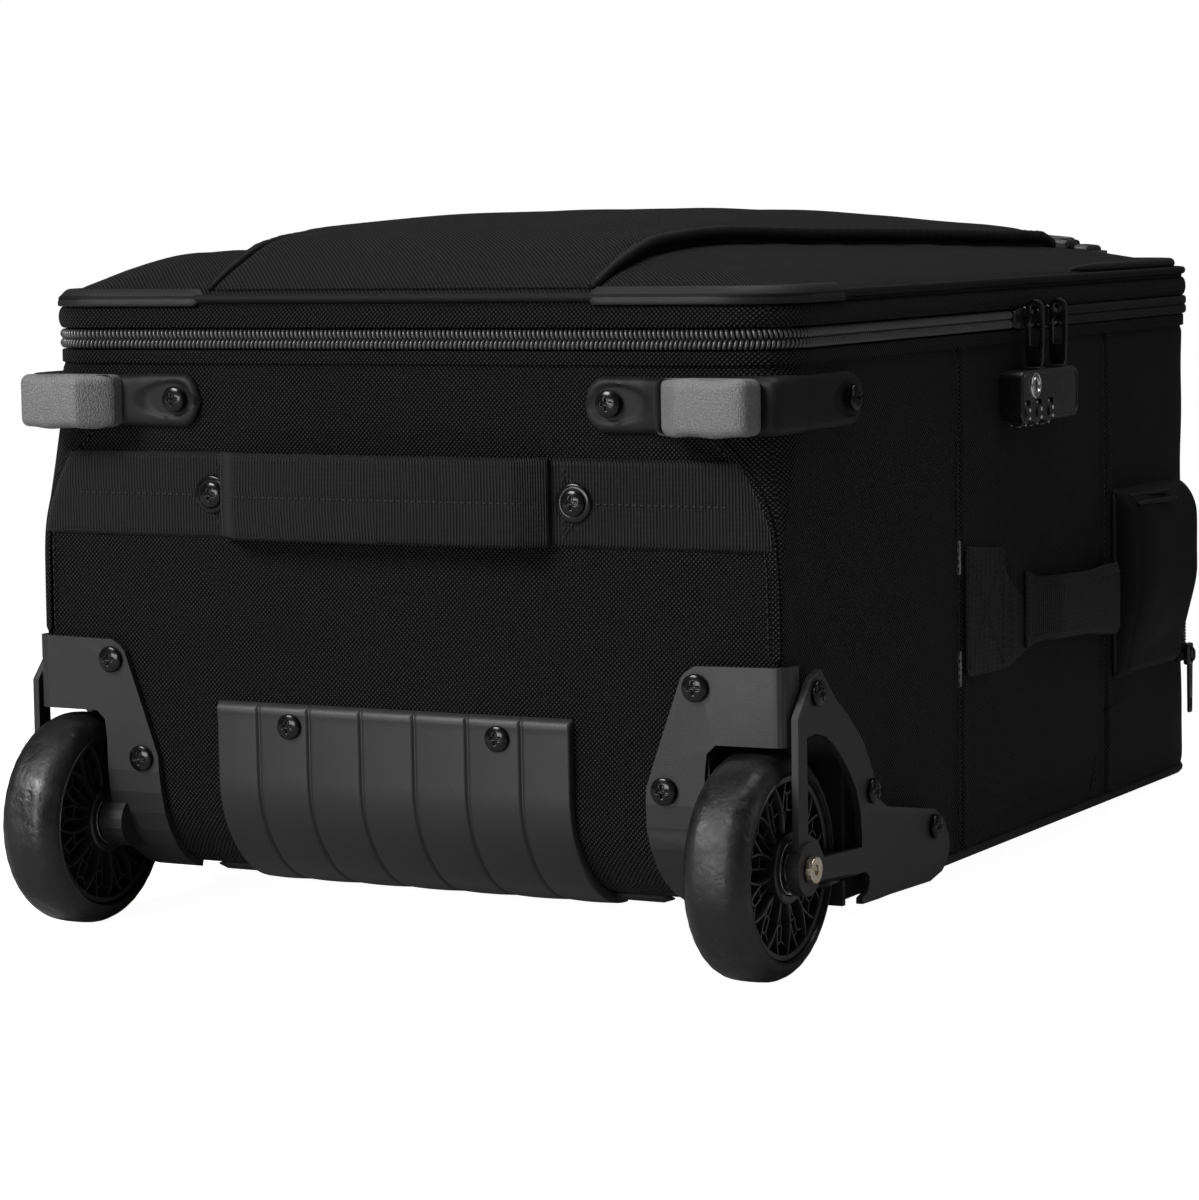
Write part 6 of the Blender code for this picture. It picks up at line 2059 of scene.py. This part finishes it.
# ----------------------------------------------------------------- the setting
def add_camera():
    yaw, pitch, roll = 0.49432, 0.1018, -0.01692            # radians
    eye = Vector((0.84645812, -1.38652039 + TO_FRAME[1], 0.29097273))
    ahead = Vector((-math.sin(yaw) * math.cos(pitch), math.cos(yaw) * math.cos(pitch),
                    -math.sin(pitch)))
    level = Vector((math.cos(yaw), math.sin(yaw), 0))
    upright = level.cross(ahead)
    right = math.cos(roll) * level + math.sin(roll) * upright
    up = -math.sin(roll) * level + math.cos(roll) * upright
    camera = bpy.data.objects.new("camera", bpy.data.cameras.new("camera"))
    bpy.context.scene.collection.objects.link(camera)
    camera.matrix_world = Matrix((right, up, -ahead, eye)).transposed().to_4x4()         if False else Matrix([(right[i], up[i], -ahead[i], eye[i]) for i in range(3)]
                             + [(0, 0, 0, 1)])
    camera.data.sensor_width = 36.0
    camera.data.lens = 115.4298
    camera.data.clip_start, camera.data.clip_end = 0.05, 60
    bpy.context.scene.camera = camera


def add_floor():
    """The case rests on its wheels and the far edge of the back, so the floor tips under it."""
    wheel_y, wheel_z = AXLE_Y + TO_FRAME[1], AXLE_Z - WHEEL_R
    rest_y, rest_z = LENGTH - 0.004 + TO_FRAME[1], -0.0030
    slope = (rest_z - wheel_z) / (rest_y - wheel_y)
    reach, end_y = 9, 0.400              # ends short of where it would cross the drawn-out trolley
    near_z, far_z = (wheel_z + slope * (y - wheel_y) - 0.0006 for y in (-reach, end_y))
    mesh = bpy.data.meshes.new("floor")
    mesh.from_pydata([(-reach, -reach, near_z), (reach, -reach, near_z),
                      (reach, end_y, far_z), (-reach, end_y, far_z)], [], [(0, 1, 2, 3)])
    floor = bpy.data.objects.new("floor", mesh)
    bpy.context.scene.collection.objects.link(floor)
    mat = new_material("floor")
    mat.surface(color=mat.shade(mat.noise(scale=3, detail=2), low=0.40, high=0.44),
                rough=0.8, spec=0.1)
    # seen directly the sheet glows near white; it lights the case only by what falls on it
    seen = mat.add("LightPath").outputs["Is Camera Ray"]
    glow = mat.add("Emission", {0: grey(1.0), 1: mat.times(seen, 0.97)})
    both = mat.add("AddShader", {0: mat.bsdf.outputs[0], 1: glow.outputs[0]})
    mat.link(both.outputs[0], mat.out.inputs[0])
    mesh.materials.append(MATERIALS["floor"])


def add_world():
    """White to the camera, dim as a light."""
    world = bpy.data.worlds.new("studio")
    bpy.context.scene.world = world
    world.use_nodes = True
    tree = world.node_tree
    tree.nodes.clear()
    out = tree.nodes.new("ShaderNodeOutputWorld")
    mix = tree.nodes.new("ShaderNodeMixShader")
    path = tree.nodes.new("ShaderNodeLightPath")
    tree.links.new(path.outputs["Is Camera Ray"], mix.inputs[0])
    for socket, strength in ((1, 0.085), (2, 1.0)):
        background = tree.nodes.new("ShaderNodeBackground")
        background.inputs[0].default_value = (1.0, 1.0, 1.0, 1.0)
        background.inputs[1].default_value = strength
        tree.links.new(background.outputs[0], mix.inputs[socket])
    tree.links.new(mix.outputs[0], out.inputs[0])


def add_softbox(name, place, aim, size, power):
    light = bpy.data.lights.new(name, "AREA")
    light.shape, light.energy, light.color = "RECTANGLE", power, (1, 1, 1)
    light.size, light.size_y = size
    obj = bpy.data.objects.new(name, light)
    bpy.context.scene.collection.objects.link(obj)
    obj.location = place
    obj.rotation_euler = (Vector(aim) - Vector(place)).to_track_quat("-Z", "Y").to_euler()


add_camera()
add_floor()
add_world()
bpy.context.scene.view_settings.view_transform = "Standard"
add_softbox("key", place=(-1.0, -2.0, 1.7), aim=(0, -0.1, 0.12), size=(0.9, 0.9), power=60)
add_softbox("top", place=(0.1, 0.2, 2.2), aim=(0, 0, 0.1), size=(1.2, 1.2), power=26)
add_softbox("side", place=(2.2, 0.4, 0.9), aim=(0, 0, 0.12), size=(1.2, 1.2), power=3.5)
add_softbox("low", place=(-0.5, -2.3, 0.30), aim=(0, -0.25, 0.10), size=(0.9, 0.5), power=16)
